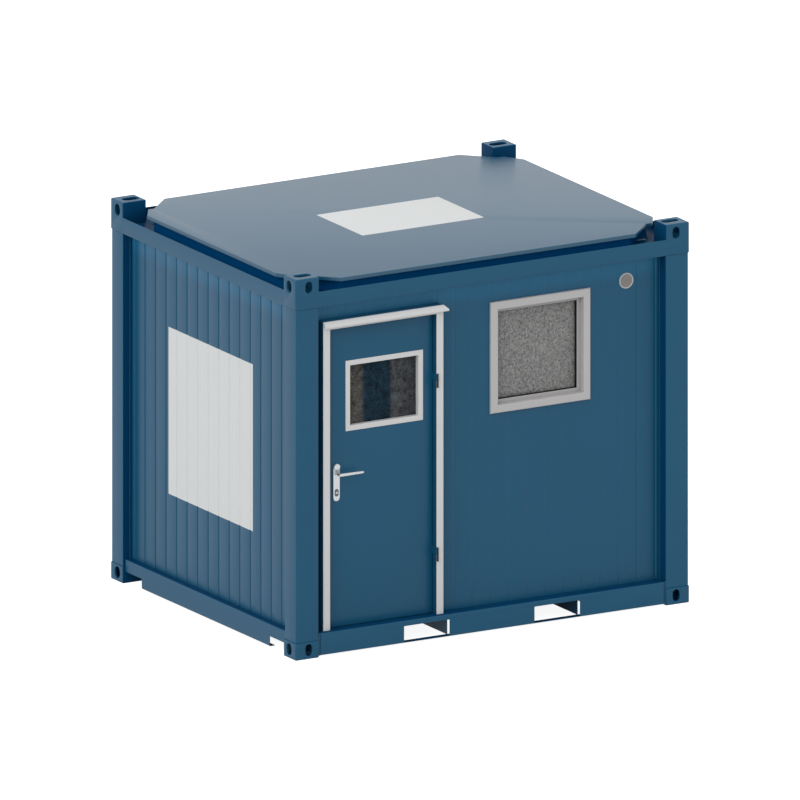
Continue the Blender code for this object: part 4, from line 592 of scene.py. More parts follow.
span_end = CASTING_X + JOINT
flange_end = end_x + JOINT
wall_back_y = FRONT_WALL_Y + WALL_THICK
floor_section = channel(FACE_STEP, wall_back_y + FACE_STEP, FACE_STEP + LOW_FLANGE, FLOOR_LOW, FLOOR_TOP)
end_plate = rectangle(FACE_STEP, FLOOR_LOW, FACE_STEP + STEEL, FLOOR_TOP)
roof_section = guttered(GUTTER_PLATE, wall_back_y + STEEL)
into_casting = CASTING_X - CASTING_ROUND
for side, rear in (("front", False), ("rear", True)):
    rail_shells = [prism(floor_section, "x", flange_end, LENGTH - flange_end)]
    rail_shells += [
        prism(end_plate, "x", a, b)
        for a, b in ((span_end, flange_end + STEEL), (LENGTH - flange_end - STEEL, LENGTH - span_end))
    ]
    rail = piece(
        "floor_rail_dressed_" + side, [placed(skin, False, rear) for skin in rail_shells],
        FRAME_BLUE, "frame_paint", node="floor_rail_" + side,
    )
    ways = []
    for hand in (-1, 1):
        middle = LENGTH / 2 + hand * POCKET_FROM_MIDDLE
        left, right = middle - POCKET_WIDTH / 2, middle + POCKET_WIDTH / 2
        mouth = soften(rectangle(left, POCKET_LOW, right, POCKET_TOP), POCKET_ROUND)
        way = flared(mouth, "y", FACE_STEP, FACE_STEP + 4 * STEEL, POCKET_LIP)
        ways.append(placed(way, False, rear))
    dent(rail, ways)
    rail = prism(roof_section, "x", into_casting, LENGTH - into_casting)
    piece(
        "roof_rail_dressed_" + side, [placed(rail, False, rear)], FRAME_BLUE, "frame_paint",
        node="roof_rail_" + side,
    )
for name, (right, rear) in CORNERS.items():
    long_side = name.split("_")[0]
    for level_name, frame_name, span in (
        ("bottom", "floor_rail_", (0.0, CASTING_Z, HOLE_RISE, 0.0)),
        ("top", "roof_rail_", (ROOF_RAIL_LOW, HEIGHT, HEIGHT - HOLE_RISE, HEIGHT)),
    ):
        body, holes = casting(*span, webbed=rear and level_name == "top")
        block = piece(
            f"casting_{level_name}_{name}", [placed(body, right, rear)], FRAME_BLUE, "frame_paint",
            node=frame_name + long_side,
        )
        for hole in holes:
            dent(block, [placed(hole, right, rear)])

# End rails
# The left and right rails of the floor and roof frames. The floor rails stand back from the castings and
# are notched at both ends.
ENDS = (("left", False), ("right", True))
END_SET_BACK = 0.019
END_LOW_FLANGE = 0.040
NOTCH_LENGTH = 0.215
NOTCH_TOP = 0.081
NOTCH_ROUND = 0.006

wall_back_x = SIDE_WALL_X + WALL_THICK
floor_section = channel(
    END_SET_BACK, wall_back_x + FACE_STEP, END_SET_BACK + END_LOW_FLANGE, FLOOR_LOW, FLOOR_TOP
)
roof_section = guttered(into_casting - JOINT, wall_back_x + FACE_STEP)
near = CASTING_Y + JOINT
notch = CASTING_Y + NOTCH_LENGTH
reach = CASTING_Y - CASTING_ROUND
for side, right in ENDS:
    rail = piece(
        "end_floor_rail_dressed_" + side, [placed(prism(floor_section, "y", near, WIDTH - near), right)],
        FRAME_BLUE, "frame_paint", node="floor_rail_" + side,
    )
    cuts = [
        prism(soften(rectangle(a, -NOTCH_TOP, b, NOTCH_TOP), NOTCH_ROUND), "x", 0.0, 2 * SIDE_WALL_X)
        for a, b in ((0.0, notch), (WIDTH - notch, WIDTH))
    ]
    dent(rail, [placed(cutter, right) for cutter in cuts])
    piece(
        "end_roof_rail_dressed_" + side, [placed(prism(roof_section, "y", reach, WIDTH - reach), right)],
        FRAME_BLUE, "frame_paint", node="roof_rail_" + side,
    )

# Grooved walls
# Sandwich panels with steel skins. A narrow groove is rolled into the outer skin at every pitch, and the
# front panel has openings for the door, the window and the vent.
GROOVE_PITCH = 0.1384
GROOVE_HALF = 0.008
GROOVE_FLOOR_HALF = 0.003
SIDE_DEPTH, FRONT_DEPTH = 0.007, 0.0022
GROOVE_BEND = 0.0022
FRONT_GROOVE_AT = 1.260
SIDE_GROOVE_AT = 1.273
DOOR_SPAN = (0.227, 1.139)
DOOR_HEAD = 2.2675
DOOR_CUT_FOOT = 0.1
WINDOW_SPAN = (1.526, 2.284)
WINDOW_HEIGHTS = (1.459, 2.217)
VENT_AT = (2.563, 2.226)
DUCT_RADIUS = 0.050
CUT_PAST = 0.02
# The walls' paint carries painted light: a band just under the roof rail is lifted lighter, where the rail
# would shade it.
WALL_BLUE = coated(
    "wall_paint", (0.0066, 0.088, 0.173), 0.34, ior=1.36, mottle=(1.6, 0.08), grain=(320.0, 0.06), head=0.80
)
wall_heights = (FLOOR_TOP + JOINT, ROOF_RAIL_LOW - JOINT)


def round_line(points, radius, steps=3):
    """An open line whose inner corners become arcs: the closed rule, with the two end points kept."""
    points = np.asarray(points, float)
    away = np.array([0.0, 1.0])
    closed = np.vstack([points, points[-1:] + away, points[:1] + away])
    radii = np.full(len(closed), radius)
    radii[[0, len(points) - 1, -1, -2]] = 1e-6
    line = soften(closed, radii, steps)
    inner = line[steps + 1:(len(points) - 1) * (steps + 1)]
    return np.vstack([points[:1], inner, points[-1:]])


def grooved(start, end, groove_at, depth):
    """Across and depth of a panel's outer skin: flat, with a tapering groove at every pitch."""
    first = math.ceil((start + 2 * GROOVE_HALF - groove_at) / GROOVE_PITCH)
    last = math.floor((end - 2 * GROOVE_HALF - groove_at) / GROOVE_PITCH)
    middles = groove_at + GROOVE_PITCH * np.arange(first, last + 1)
    across = np.array([-GROOVE_HALF, -GROOVE_FLOOR_HALF, GROOVE_FLOOR_HALF, GROOVE_HALF])
    places = (middles[:, None] + across).ravel()
    depths = np.tile([0.0, depth, depth, 0.0], len(middles))
    return round_line([(start, 0.0), *zip(places, depths), (end, 0.0)], GROOVE_BEND)


def wall(start, end, face, groove_at, depth, across_x):
    """One panel between the floor and roof rails, its skin facing the front or the left."""
    skin = grooved(start, end, groove_at, depth)
    outline = np.vstack([skin + (0.0, face), [(end, face + WALL_THICK), (start, face + WALL_THICK)]])
    return prism(outline if across_x else outline[:, ::-1], "z", *wall_heights)


front_start = wall_back_x + JOINT
long_wall = wall(front_start, LENGTH - front_start, FRONT_WALL_Y, FRONT_GROOVE_AT, FRONT_DEPTH, True)
front_panel = piece("wall_skin_front", [long_wall], WALL_BLUE, "wall_paint", node="wall_panel_front")
openings = (
    rectangle(DOOR_SPAN[0] - JOINT, DOOR_CUT_FOOT, DOOR_SPAN[1] + JOINT, DOOR_HEAD + JOINT),
    rectangle(
        WINDOW_SPAN[0] - JOINT, WINDOW_HEIGHTS[0] - JOINT, WINDOW_SPAN[1] + JOINT, WINDOW_HEIGHTS[1] + JOINT
    ),
    round_of(VENT_AT, DUCT_RADIUS + JOINT, count=48),
)
dent(front_panel, [prism(line, "y", FRONT_WALL_Y - CUT_PAST, wall_back_y + CUT_PAST) for line in openings])
piece("wall_skin_rear", [placed(long_wall, False, True)], WALL_BLUE, "wall_paint", node="wall_panel_rear")
side_wall = wall(FRONT_WALL_Y, WIDTH - FRONT_WALL_Y, SIDE_WALL_X, SIDE_GROOVE_AT, SIDE_DEPTH, False)
for side, right in ENDS:
    piece("wall_skin_" + side, [placed(side_wall, right)], WALL_BLUE, "wall_paint", node="wall_panel_" + side)

# Roof cover
# A welded sheet-steel tray with a turned-down lip, cut back round the four castings. It rests on an upstand
# inside the roof rails, coloured a flat dark navy with almost no gloss as painted shade for the slot under
# the lip.
ROOF_TOP = 2.547
ROOF_LIP = 0.024
ROOF_SHEET = 0.004
ROOF_EDGE = (0.062, 0.0545)
ROOF_CUTS = (0.376, 0.190, 0.145, 0.2405, 0.372)
ROOF_CORNER = 0.006
UPSTAND_INSET = 0.040
UPSTAND_WIDTH = 0.030
UPSTAND_BITE = 0.001
LIP_ROUND = 0.004
ROOF_BLUE = coated(
    "roof_paint", (0.0075, 0.084, 0.160), 0.30, ior=1.56, mottle=(1.2, 0.12), grain=(220.0, 0.10)
)
# Painted shade: the upstand is a flat dark navy with almost no gloss, standing for the shade in the slot
# under the lip.
PAINTED_SHADE_BLUE = coated("upstand_painted_shade", (0.001, 0.080, 0.240), 0.60, ior=1.02, grain=(220.0, 0.10))


def roof_outline(draw):
    """The tray seen from above, drawn in by a distance: one quarter, mirrored to the four corners."""
    cut_x, mid_x, step_x, mid_y, cut_y = ROOF_CUTS
    quarter = np.array([
        (ROOF_EDGE[0] + draw, cut_y + draw / 2), (step_x + draw, mid_y + draw),
        (mid_x + draw, mid_y + draw), (cut_x + draw / 2, ROOF_EDGE[1] + draw),
    ])
    right = np.array([LENGTH, 0.0]) + quarter[::-1] * (-1, 1)
    far = np.array([LENGTH, WIDTH]) - quarter
    left = np.array([0.0, WIDTH]) + quarter[::-1] * (1, -1)
    return soften(np.vstack([quarter, right, far, left]), ROOF_CORNER)


lip_low = ROOF_TOP - ROOF_LIP
roof_line = roof_outline(0.0)
under_line = inset(roof_line, ROOF_SHEET)
tray_rings = [
    lift(under_line, ROOF_TOP - ROOF_SHEET, "z"), lift(under_line, lip_low, "z"),
    lift(roof_line, lip_low, "z"),
]
for turn in np.linspace(0.0, math.pi / 2, 5):
    drawn = inset(roof_line, LIP_ROUND * (1 - math.cos(turn)))
    tray_rings.append(lift(drawn, ROOF_TOP - LIP_ROUND * (1 - math.sin(turn)), "z"))
outer, inner = roof_outline(UPSTAND_INSET), roof_outline(UPSTAND_INSET + UPSTAND_WIDTH)
foot, top = GUTTER_FLOOR + JOINT, ROOF_TOP - ROOF_SHEET + UPSTAND_BITE
upstand = shell(
    [lift(line, z, "z") for line, z in ((outer, foot), (outer, top), (inner, top), (inner, foot))], loop=True
)
piece("roof_tray", [shell(tray_rings)], ROOF_BLUE, "roof_coating", node="roof_cover")
piece("roof_upstand", [upstand], PAINTED_SHADE_BLUE, "roof_coating", node="roof_cover")

# Entrance door frame
# A light grey trim faces forward over a deep steel box sheeted in the blue of the walls. It stands on the
# floor rail, and a grey stop with a low threshold closes behind the leaf.
TRIM_FACE = 0.052
TRIM_HEAD = 0.0565
TRIM_Y = (0.030, 0.034)
TRIM_ROUND = 0.0016
CASING_INSET = 0.0008
STOP_Y = (0.121, 0.137)
STOP_BITE = 0.002
LINING_BACK = 0.154
STOP_REACH = 0.014
THRESHOLD_TOP = 0.0047
DOOR_GREY = coated(
    "door_profile_paint", (0.70, 0.70, 0.70), 0.32, ior=1.45, mottle=(9.0, 0.05), grain=(700.0, 0.05)
)
clear_left, clear_right = DOOR_SPAN[0] + TRIM_FACE, DOOR_SPAN[1] - TRIM_FACE
clear_top = DOOR_HEAD - TRIM_HEAD
door_foot = FLOOR_TOP + JOINT


def portal(draw=0.0, reach=0.0):
    """Two jambs and a head in one outline, drawn in by a distance, with the opening narrowed by a reach."""
    left, right, top = clear_left + reach, clear_right - reach, clear_top - reach
    line = [
        (DOOR_SPAN[0], door_foot), (left, door_foot), (left, top), (right, top), (right, door_foot),
        (DOOR_SPAN[1], door_foot), (DOOR_SPAN[1], DOOR_HEAD), (DOOR_SPAN[0], DOOR_HEAD),
    ]
    return inset(line, draw) if draw else np.array(line)


threshold_top = door_foot + THRESHOLD_TOP
stop_low = (clear_left, STOP_Y[0], door_foot)
door_frame_pieces = {
    "door_trim": ([prism(portal(), "y", *TRIM_Y, TRIM_ROUND)], DOOR_GREY, "door_profile"),
    "door_casing": (
        [prism(portal(CASING_INSET), "y", TRIM_Y[1] - SHEET_EDGE, STOP_Y[0])], WALL_BLUE, "wall_paint"
    ),
    "door_stop": ([
        prism(portal(0.0, STOP_REACH), "y", *STOP_Y, TRIM_ROUND),
        prism(portal(), "y", STOP_Y[1] - STOP_BITE, LINING_BACK, SHEET_EDGE),
        slab(stop_low, (clear_right, STOP_Y[1], threshold_top + STOP_REACH / 2), "x"),
        slab(stop_low, (clear_right, LINING_BACK, threshold_top), "x", 0.0015),
    ], DOOR_GREY, "door_profile"),
}
for name, (shells, look, slot) in door_frame_pieces.items():
    piece(name, shells, look, slot, node="door_frame")

# Drip cap
# A folded aluminium cap screwed to the top of the door trim. It falls forward to a short lip, which throws
# rain clear of the leaf, and runs on past the hinge side, where its end is cut on the slant.
CAP_SPAN = (0.227, 1.168)
CAP_BACK_Y = TRIM_Y[0] - JOINT
CAP_FRONT_Y, CAP_FRONT_Z = 0.003, 2.241
CAP_LIP = 0.013
CAP_SHEET = 0.002
CAP_FLANGE = 0.018
CAP_EDGE, CAP_BEND, CAP_INNER = 0.0006, 0.0025, 0.0008
SLANT_PAST = 0.01

lip_back_y, inner_back_y = CAP_FRONT_Y + CAP_SHEET, CAP_BACK_Y - CAP_SHEET
cap_line = [
    (CAP_BACK_Y, DOOR_HEAD), (CAP_FRONT_Y, CAP_FRONT_Z), (CAP_FRONT_Y, CAP_FRONT_Z - CAP_LIP),
    (lip_back_y, CAP_FRONT_Z - CAP_LIP), (lip_back_y, CAP_FRONT_Z - CAP_SHEET),
    (inner_back_y, DOOR_HEAD - 2 * CAP_SHEET), (inner_back_y, DOOR_HEAD - CAP_FLANGE),
    (CAP_BACK_Y, DOOR_HEAD - CAP_FLANGE),
]
cap_radii = [CAP_EDGE, CAP_BEND] + [CAP_INNER] * 3 + [CAP_EDGE] * 3
cap = piece(
    "drip_cap", [prism(soften(cap_line, cap_radii), "x", *CAP_SPAN)], DOOR_GREY, "door_profile",
    node="door_drip_cap",
)
beyond, before_cap = CAP_SPAN[1] + SLANT_PAST, CAP_FRONT_Y - SHEET_EDGE
slant = [(DOOR_SPAN[1], TRIM_Y[0]), (CAP_SPAN[1], before_cap), (beyond, before_cap), (beyond, TRIM_Y[0])]
dent(cap, [prism(np.array(slant), "z", CAP_FRONT_Z - 5 * SLANT_PAST, DOOR_HEAD + SLANT_PAST)])

# Door leaf and hinges
# An insulated leaf with folded steel skins in the wall's blue. It hangs on two black knuckle hinges, whose
# blue arms reach forward along the reveal to pins in front of the grey trim.
LATCH_PLAY, HINGE_PLAY, HEAD_PLAY = 0.0065, 0.003, 0.004
LEAF_LEFT, LEAF_RIGHT = clear_left + LATCH_PLAY, clear_right - HINGE_PLAY
LEAF_Y = (0.080, 0.120)
LEAF_FOOT = door_foot + HINGE_PLAY
LEAF_HEAD = clear_top - HEAD_PLAY
LEAF_ROUND = 0.0025
BORE_PAST = 0.01
SLEEVE_LOW, SLEEVE_HIGH = (0.443, 1.510), (0.991, 1.949)
LOCK_POCKET = (LEAF_LEFT - 0.01, 1.0297, LEAF_LEFT + 0.1043, 1.2703)
LOCK_POCKET_Y = (0.0917, 0.1083)
SPINDLE = (0.352, 1.213)
CYLINDER = (0.352, 1.083)
SPINDLE_HOLE, CYLINDER_HOLE = 0.0105, 0.0090
HINGE_AXIS = (1.090, 0.022)
HINGE_CENTRES = (0.576, 1.758)
HINGE_HEIGHT = 0.094
HINGE_RADIUS = 0.007
HINGE_BORE = 0.0043
HINGE_PLATE = 0.003
HINGE_WING = 0.025
WING_BITE = 0.0005
FINE_EDGE = 0.0006
FINE_CORNER = 0.0008
HINGE_BLACK = coated(
    "hinge_paint", (0.004, 0.010, 0.018), 0.42, ior=1.45, mottle=(30.0, 0.20), grain=(900.0, 0.20)
)


def turned(profile, middle, axis, count=40, loop=False):
    """A profile of (radius, place) points turned about an axis, closed by flat ends or on itself."""
    return shell([lift(round_of(middle, radius, count), place, axis) for radius, place in profile], loop)


def tube(middle, outer, inner, axis, start, end, edge=FINE_EDGE):
    """A hollow round bar: its wall's rectangle, with bevelled edges, carried round the axis."""
    return turned([
        (outer, start + edge), (outer, end - edge), (outer - edge, end), (inner + edge, end),
        (inner, end - edge), (inner, start + edge), (inner + edge, start), (outer - edge, start),
    ], middle, axis, count=24, loop=True)


leaf_block = slab(
    (LEAF_LEFT, LEAF_Y[0], LEAF_FOOT), (LEAF_RIGHT, LEAF_Y[1], LEAF_HEAD), "y", LEAF_ROUND, LEAF_ROUND
)
leaf = piece("door_leaf_dressed", [leaf_block], WALL_BLUE, "wall_paint", "entrance_door", "door_leaf")
bore_reach = (LEAF_Y[0] - BORE_PAST, LEAF_Y[1] + BORE_PAST)
dent(leaf, [
    prism(rectangle(*SLEEVE_LOW, *SLEEVE_HIGH), "y", *bore_reach),
    prism(rectangle(*LOCK_POCKET), "y", *LOCK_POCKET_Y),
])
dent(leaf, [
    prism(round_of(SPINDLE, SPINDLE_HOLE), "y", *bore_reach),
    prism(round_of(CYLINDER, CYLINDER_HOLE), "y", *bore_reach),
])
arm_low, arm_high = HINGE_AXIS[1] - HINGE_PLATE / 2, HINGE_AXIS[1] + HINGE_PLATE / 2
for level_name, centre in zip(("lower", "upper"), HINGE_CENTRES):
    low, high = centre - HINGE_HEIGHT / 2, centre + HINGE_HEIGHT / 2
    above, below = centre + JOINT, centre - JOINT
    for part, body, node, span in (
        ("hinge_upper_half_", "entrance_door", "door_leaf", (above, high)),
        ("hinge_lower_half_", "module", "door_frame", (low, below)),
    ):
        piece(part + level_name, [tube(HINGE_AXIS, HINGE_RADIUS, HINGE_BORE, "z", *span)],
              HINGE_BLACK, "frame_paint", body, node)
    along_reveal = slab(
        (LEAF_RIGHT - HINGE_PLATE, arm_low, above), (LEAF_RIGHT, LEAF_Y[0] + HINGE_PLATE, high),
        "z", SHEET_EDGE, FINE_EDGE,
    )
    to_pin = slab(
        (LEAF_RIGHT - HINGE_PLATE / 2, arm_low, above), (HINGE_AXIS[0] - HINGE_BORE, arm_high, high),
        "z", FINE_CORNER, FINE_EDGE,
    )
    piece("hinge_arm_" + level_name, [along_reveal, to_pin], WALL_BLUE, "wall_paint",
          "entrance_door", "door_leaf")
    wing = slab(
        (HINGE_AXIS[0] + HINGE_BORE, TRIM_Y[0] - HINGE_PLATE, low),
        (HINGE_AXIS[0] + HINGE_WING, TRIM_Y[0] + WING_BITE, below), "z", SHEET_EDGE, FINE_EDGE,
    )
    piece("hinge_wing_" + level_name, [wing], DOOR_GREY, "door_profile", "module", "door_frame")

# Door glazing
# A mitred light grey frame clamps an obscured pane. The pane sits back in the leaf; its colour is a painted
# reflection, a dark navy band down its middle between two mottled grey-brown sides.
GLAZING_LOW, GLAZING_HIGH = (0.423, 1.490), (1.011, 1.969)
GLAZING_BAR = 0.035
GLAZING_FRONT = 0.076
GLAZING_REBATE = 0.0067
SLEEVE_INSET = 0.0203
PANE_Y = (0.1123, 0.1183)
PANE_BITE = 0.0064
SLEEVE_BACK = 0.124
RIPPLE_DEPTH = 0.001


def mitred(profile, low, high):
    """A closed profile of (inward, depth) points, carried round an upright rectangle and mitred."""
    inward, depth = np.asarray(profile, float).T
    corners = (
        (low[0], low[1], 1, 1), (high[0], low[1], -1, 1),
        (high[0], high[1], -1, -1), (low[0], high[1], 1, -1),
    )
    return shell([
        np.stack([x + turn_x * inward, depth, z + turn_z * inward], 1) for x, z, turn_x, turn_z in corners
    ], loop=True)


sleeve_inner = GLAZING_BAR - GLAZING_REBATE
glazing_line = [
    (0.0, LEAF_Y[0] - JOINT), (0.0, GLAZING_FRONT), (GLAZING_BAR, GLAZING_FRONT), (GLAZING_BAR, PANE_Y[0]),
    (sleeve_inner, PANE_Y[0]), (sleeve_inner, SLEEVE_BACK), (SLEEVE_INSET, SLEEVE_BACK),
    (SLEEVE_INSET, LEAF_Y[0] - JOINT),
]
glazing_radii = [0.0004, 0.0022, 0.0030, 0.0004, 0.0004, SHEET_EDGE, SHEET_EDGE, 0.0003]
piece(
    "door_glazing", [mitred(soften(glazing_line, glazing_radii), GLAZING_LOW, GLAZING_HIGH)],
    DOOR_GREY, "door_profile", "entrance_door", "door_glazing_frame",
)


def speckle_group():
    """A mask of fine light and dark grains: two noises in Object space, summed and stretched."""
    inputs = dict.fromkeys(("Fine Scale", "Broad Scale", "Contrast"), "NodeSocketFloat")
    group, given, result = group_of("speckle", inputs, {"Fac": "NodeSocketFloat"})
    place = step(group, "ShaderNodeTexCoord").outputs["Object"]
    total = reckon(group, "ADD", *(
        step(
            group, "ShaderNodeTexNoise", {"Vector": place, "Scale": given[scale], "Detail": 5.0}
        ).outputs["Fac"]
        for scale in ("Fine Scale", "Broad Scale")
    ))
    centred = reckon(group, "SUBTRACT", total, 1.0)
    feed(group, result, {"Fac": reckon(group, "MULTIPLY_ADD", centred, given["Contrast"], 1.0)})
    return group


SPECKLE = speckle_group()


def obscured(name, stops, span, lean, scales, contrast, rough, bump, ior=1.45):
    """Glass whose colour runs across its width by a ramp, leaned by height and broken up by the speckle. The
    ramp is a painted reflection.
    """
    look, tree, shader = new_look(name)
    place = step(tree, "ShaderNodeTexCoord").outputs["Object"]
    axes = step(tree, "ShaderNodeSeparateXYZ", [place]).outputs
    across = step(tree, "ShaderNodeMapRange", {
        "Value": reckon(tree, "MULTIPLY_ADD", axes["Z"], lean, axes["X"]),
        "From Min": span[0], "From Max": span[1],
    })
    ramp = step(tree, "ShaderNodeValToRGB", {"Fac": across.outputs["Result"]})
    ramp.color_ramp.interpolation = "EASE"
    elements = ramp.color_ramp.elements
    for number, (position, colour) in enumerate(stops):
        stop = elements[number] if number < 2 else elements.new(position)
        stop.position = position
        stop.color = (*colour, 1.0)
    grains = step(
        tree, "ShaderNodeGroup", {"Fine Scale": scales[0], "Broad Scale": scales[1], "Contrast": contrast},
        node_tree=SPECKLE,
    ).outputs["Fac"]
    tint = step(
        tree, "ShaderNodeVectorMath", {0: ramp.outputs["Color"], "Scale": grains}, operation="SCALE"
    )
    ripple = step(tree, "ShaderNodeBump", {"Distance": RIPPLE_DEPTH, "Strength": bump, "Height": grains})
    feed(tree, shader, {
        "Base Color": tint.outputs["Vector"], "Normal": ripple.outputs["Normal"],
        "Roughness": rough, "IOR": ior,
    })
    return look


GREY_BROWN = (0.074, 0.071, 0.066)
REFLECTED_NAVY_BAND = (0.0085, 0.025, 0.041)
GREY_LIGHT = (0.062, 0.066, 0.071)
GREY_RIGHT = (0.046, 0.050, 0.056)
pane_low, pane_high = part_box("door_pane")
# Painted reflection: the ramp's navy band and grey sides stand for what the door pane mirrors.
DOOR_GLASS = obscured(
    "door_glass",
    [(0.0, GREY_BROWN), (1.0, GREY_RIGHT), (0.19, GREY_BROWN), (0.27, REFLECTED_NAVY_BAND), (0.60, REFLECTED_NAVY_BAND),
     (0.66, GREY_LIGHT), (0.75, GREY_LIGHT), (0.84, GREY_RIGHT)],
    span=(pane_low.x, pane_high.x), lean=0.0, scales=(110.0, 26.0), contrast=2.4, rough=0.30, bump=0.25,
    ior=1.15,
)
pane_draw = GLAZING_BAR - PANE_BITE
glass = slab(
    (GLAZING_LOW[0] + pane_draw, PANE_Y[0], GLAZING_LOW[1] + pane_draw),
    (GLAZING_HIGH[0] - pane_draw, PANE_Y[1], GLAZING_HIGH[1] - pane_draw), "y", SHEET_EDGE, FINE_CORNER,
)
piece("door_glass_pane", [glass], DOOR_GLASS, "obscured_glass", "entrance_door", "door_pane")

# Door handles and lock
# Satin stainless steel: a long plate on each side with full-round ends, a raised boss at its top, a
# tapering lever on a round neck, and a profile cylinder whose plug takes the key.
PLATE_HALF, PLATE_LOW, PLATE_HIGH = 0.025, 1.025, 1.281
PLATE_THICK, PLATE_ROUND = 0.008, 0.0026
BOSS_Z, BOSS_RADIUS, BOSS_PROUD = 1.2565, 0.0235, 0.009
BOSS_BITE = 0.001
LEVER_FRONT, LEVER_THICK = 0.016, 0.016
LEVER_TIP_X = 0.530
LEVER_ROOT, LEVER_TIP = 0.011, 0.0085
LEVER_SECTIONS = 25
TIP_SHARE, END_DEPTH, SQUARED = 0.84, 0.75, 0.62
NECK_RADIUS = 0.0097
NECK_PLAY, BORE_PLAY = 0.0006, 0.0004
SPINDLE_HALF, SPINDLE_PAST = 0.004, 0.020
ROSE_WIDTH, ROSE_HEIGHT, ROSE_PROUD = 0.030, 0.051, 0.0012
ROSE_EDGE, ROSE_BITE = 0.0004, 0.0002
CYLINDER_RADIUS, PLUG_RADIUS = 0.0085, 0.006
CYLINDER_FLOOR = 0.004
KEY_SLOT, KEY_SLOT_HALF, KEY_SLOT_DEPTH = 0.0016, 0.0042, 0.030
SATIN_STEEL = coated(
    "satin_steel", (0.62, 0.63, 0.64), 0.34, metallic=1.0, mottle=(60.0, 0.10), grain=(1400.0, 0.10)
)
ROSE_STEEL = coated(
    "rose_steel", (0.13, 0.13, 0.125), 0.40, metallic=1.0, mottle=(90.0, 0.20), grain=(1400.0, 0.15)
)
HOUSING_ZINC = coated(
    "bright_zinc", (0.46, 0.47, 0.49), 0.38, metallic=1.0, mottle=(14.0, 0.30), grain=(500.0, 0.20)
)


def domed(middle, radius, base, top, axis="y", edge=0.4, steps=6):
    """A low round boss: straight at its foot, then a quarter ellipse over to its flat face."""
    angle = np.linspace(0.0, math.pi / 2, steps + 1)
    rise = top - base
    inward = edge * abs(rise) * (1 - np.cos(angle))
    upward = base + rise * (1 - edge) + rise * edge * np.sin(angle)
    return turned([(radius, base), *zip(radius - inward, upward)], middle, axis)


def rounded_end(past, radius):
    """The share of its full height that a section keeps, by a circle, where it lies past the end's centre."""
    return np.sqrt(np.clip(1 - (past / radius).clip(0) ** 2, 0.02, 1))


def tapered_lever(face, back):
    """Sections along the lever: half-ellipse-cornered rectangles, narrowing to a tip with a round end."""
    start, end = SPINDLE[0] - LEVER_ROOT, LEVER_TIP_X
    share = np.linspace(0.0, 1.0, LEVER_SECTIONS)
    along = start + (end - start) * share
    rounding = rounded_end(start + LEVER_ROOT - along, LEVER_ROOT)
    rounding *= rounded_end(along - end + LEVER_TIP, LEVER_TIP)
    height = (LEVER_ROOT + (LEVER_TIP - LEVER_ROOT) * share) * rounding
    half = abs(back - face) / 2
    depth = half * (1 + (TIP_SHARE - 1) * share) * (END_DEPTH + (1 - END_DEPTH) * rounding)
    middle = (face + back) / 2 + np.sign(face - back) * (half - depth)
    ring = round_of((0.0, 0.0), 1.0, count=24)
    across, upright = (np.sign(ring) * np.abs(ring) ** SQUARED).T
    return shell(np.stack([
        np.broadcast_to(along[:, None], (len(along), len(ring))),
        middle[:, None] + depth[:, None] * across, SPINDLE[1] + height[:, None] * upright,
    ], axis=-1))


def by_angle(line):
    """A ring of points about the cylinder, in the order of their angle round it."""
    return line[np.argsort(np.arctan2(*(line - np.array(CYLINDER)).T[::-1]))]


plate_middle = (SPINDLE[0], (PLATE_LOW + PLATE_HIGH) / 2)
plate_line = oval(plate_middle, 2 * PLATE_HALF, PLATE_HIGH - PLATE_LOW, steps=14)
rose = by_angle(oval(CYLINDER, ROSE_WIDTH, ROSE_HEIGHT))
rose_hole = by_angle(round_of(CYLINDER, CYLINDER_RADIUS + BORE_PLAY, len(rose)))
plate_faces = {"outer": (LEAF_Y[0] - JOINT, -1), "inner": (LEAF_Y[1] + JOINT, 1)}
for side, (foot, outward) in plate_faces.items():
    face = foot + outward * PLATE_THICK
    low, high = sorted((foot, face))
    body_and_node = ("entrance_door", "handle_plate_" + side)
    plate = piece(
        "handle_plate_dressed_" + side, [prism(plate_line, "y", low, high, PLATE_ROUND, steps=4)],
        SATIN_STEEL, "satin_steel", *body_and_node,
    )
    dent(plate, [
        prism(round_of(middle, radius), "y", low - BORE_PAST, high + BORE_PAST)
        for middle, radius in ((SPINDLE, NECK_RADIUS + NECK_PLAY), (CYLINDER, CYLINDER_RADIUS + BORE_PLAY))
    ])
    boss = domed((SPINDLE[0], BOSS_Z), BOSS_RADIUS, face - outward * BOSS_BITE, face + outward * BOSS_PROUD)
    piece("handle_boss_" + side, [boss], SATIN_STEEL, "satin_steel", *body_and_node)
    near, far = face - outward * ROSE_BITE, face + outward * ROSE_PROUD
    rose_rings = (
        (rose, near), (rose, far - outward * ROSE_EDGE), (inset(rose, ROSE_EDGE), far),
        (rose_hole, far), (rose_hole, near),
    )
    piece(
        "cylinder_rose_" + side, [shell([lift(line, y, "y") for line, y in rose_rings], loop=True)],
        ROSE_STEEL, "satin_steel", *body_and_node,
    )
lever_back = LEAF_Y[0] + LEAF_Y[1] - LEVER_FRONT
lever_spans = {
    "outer": (LEVER_FRONT, LEVER_FRONT + LEVER_THICK, LEAF_Y[0]),
    "inner": (lever_back, lever_back - LEVER_THICK, LEAF_Y[1] + JOINT),
}
for side, (face, back, root) in lever_spans.items():
    low, high = sorted(((face + back) / 2, root))
    shells = [tapered_lever(face, back), prism(round_of(SPINDLE, NECK_RADIUS), "y", low, high, FINE_CORNER)]
    if side == "outer":
        shells.append(slab(
            (SPINDLE[0] - SPINDLE_HALF, root - SPINDLE_HALF, SPINDLE[1] - SPINDLE_HALF),
            (SPINDLE[0] + SPINDLE_HALF, LEAF_Y[1] + SPINDLE_PAST, SPINDLE[1] + SPINDLE_HALF),
            "y", FINE_CORNER, FINE_EDGE,
        ))
    piece("lever_" + side, shells, SATIN_STEEL, "satin_steel", "door_levers", "door_lever_" + side)


def reach_of(node):
    """The two ends of a node's box along y, from the corner."""
    return tuple(float(end.y) - CORNER[1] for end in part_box(node))


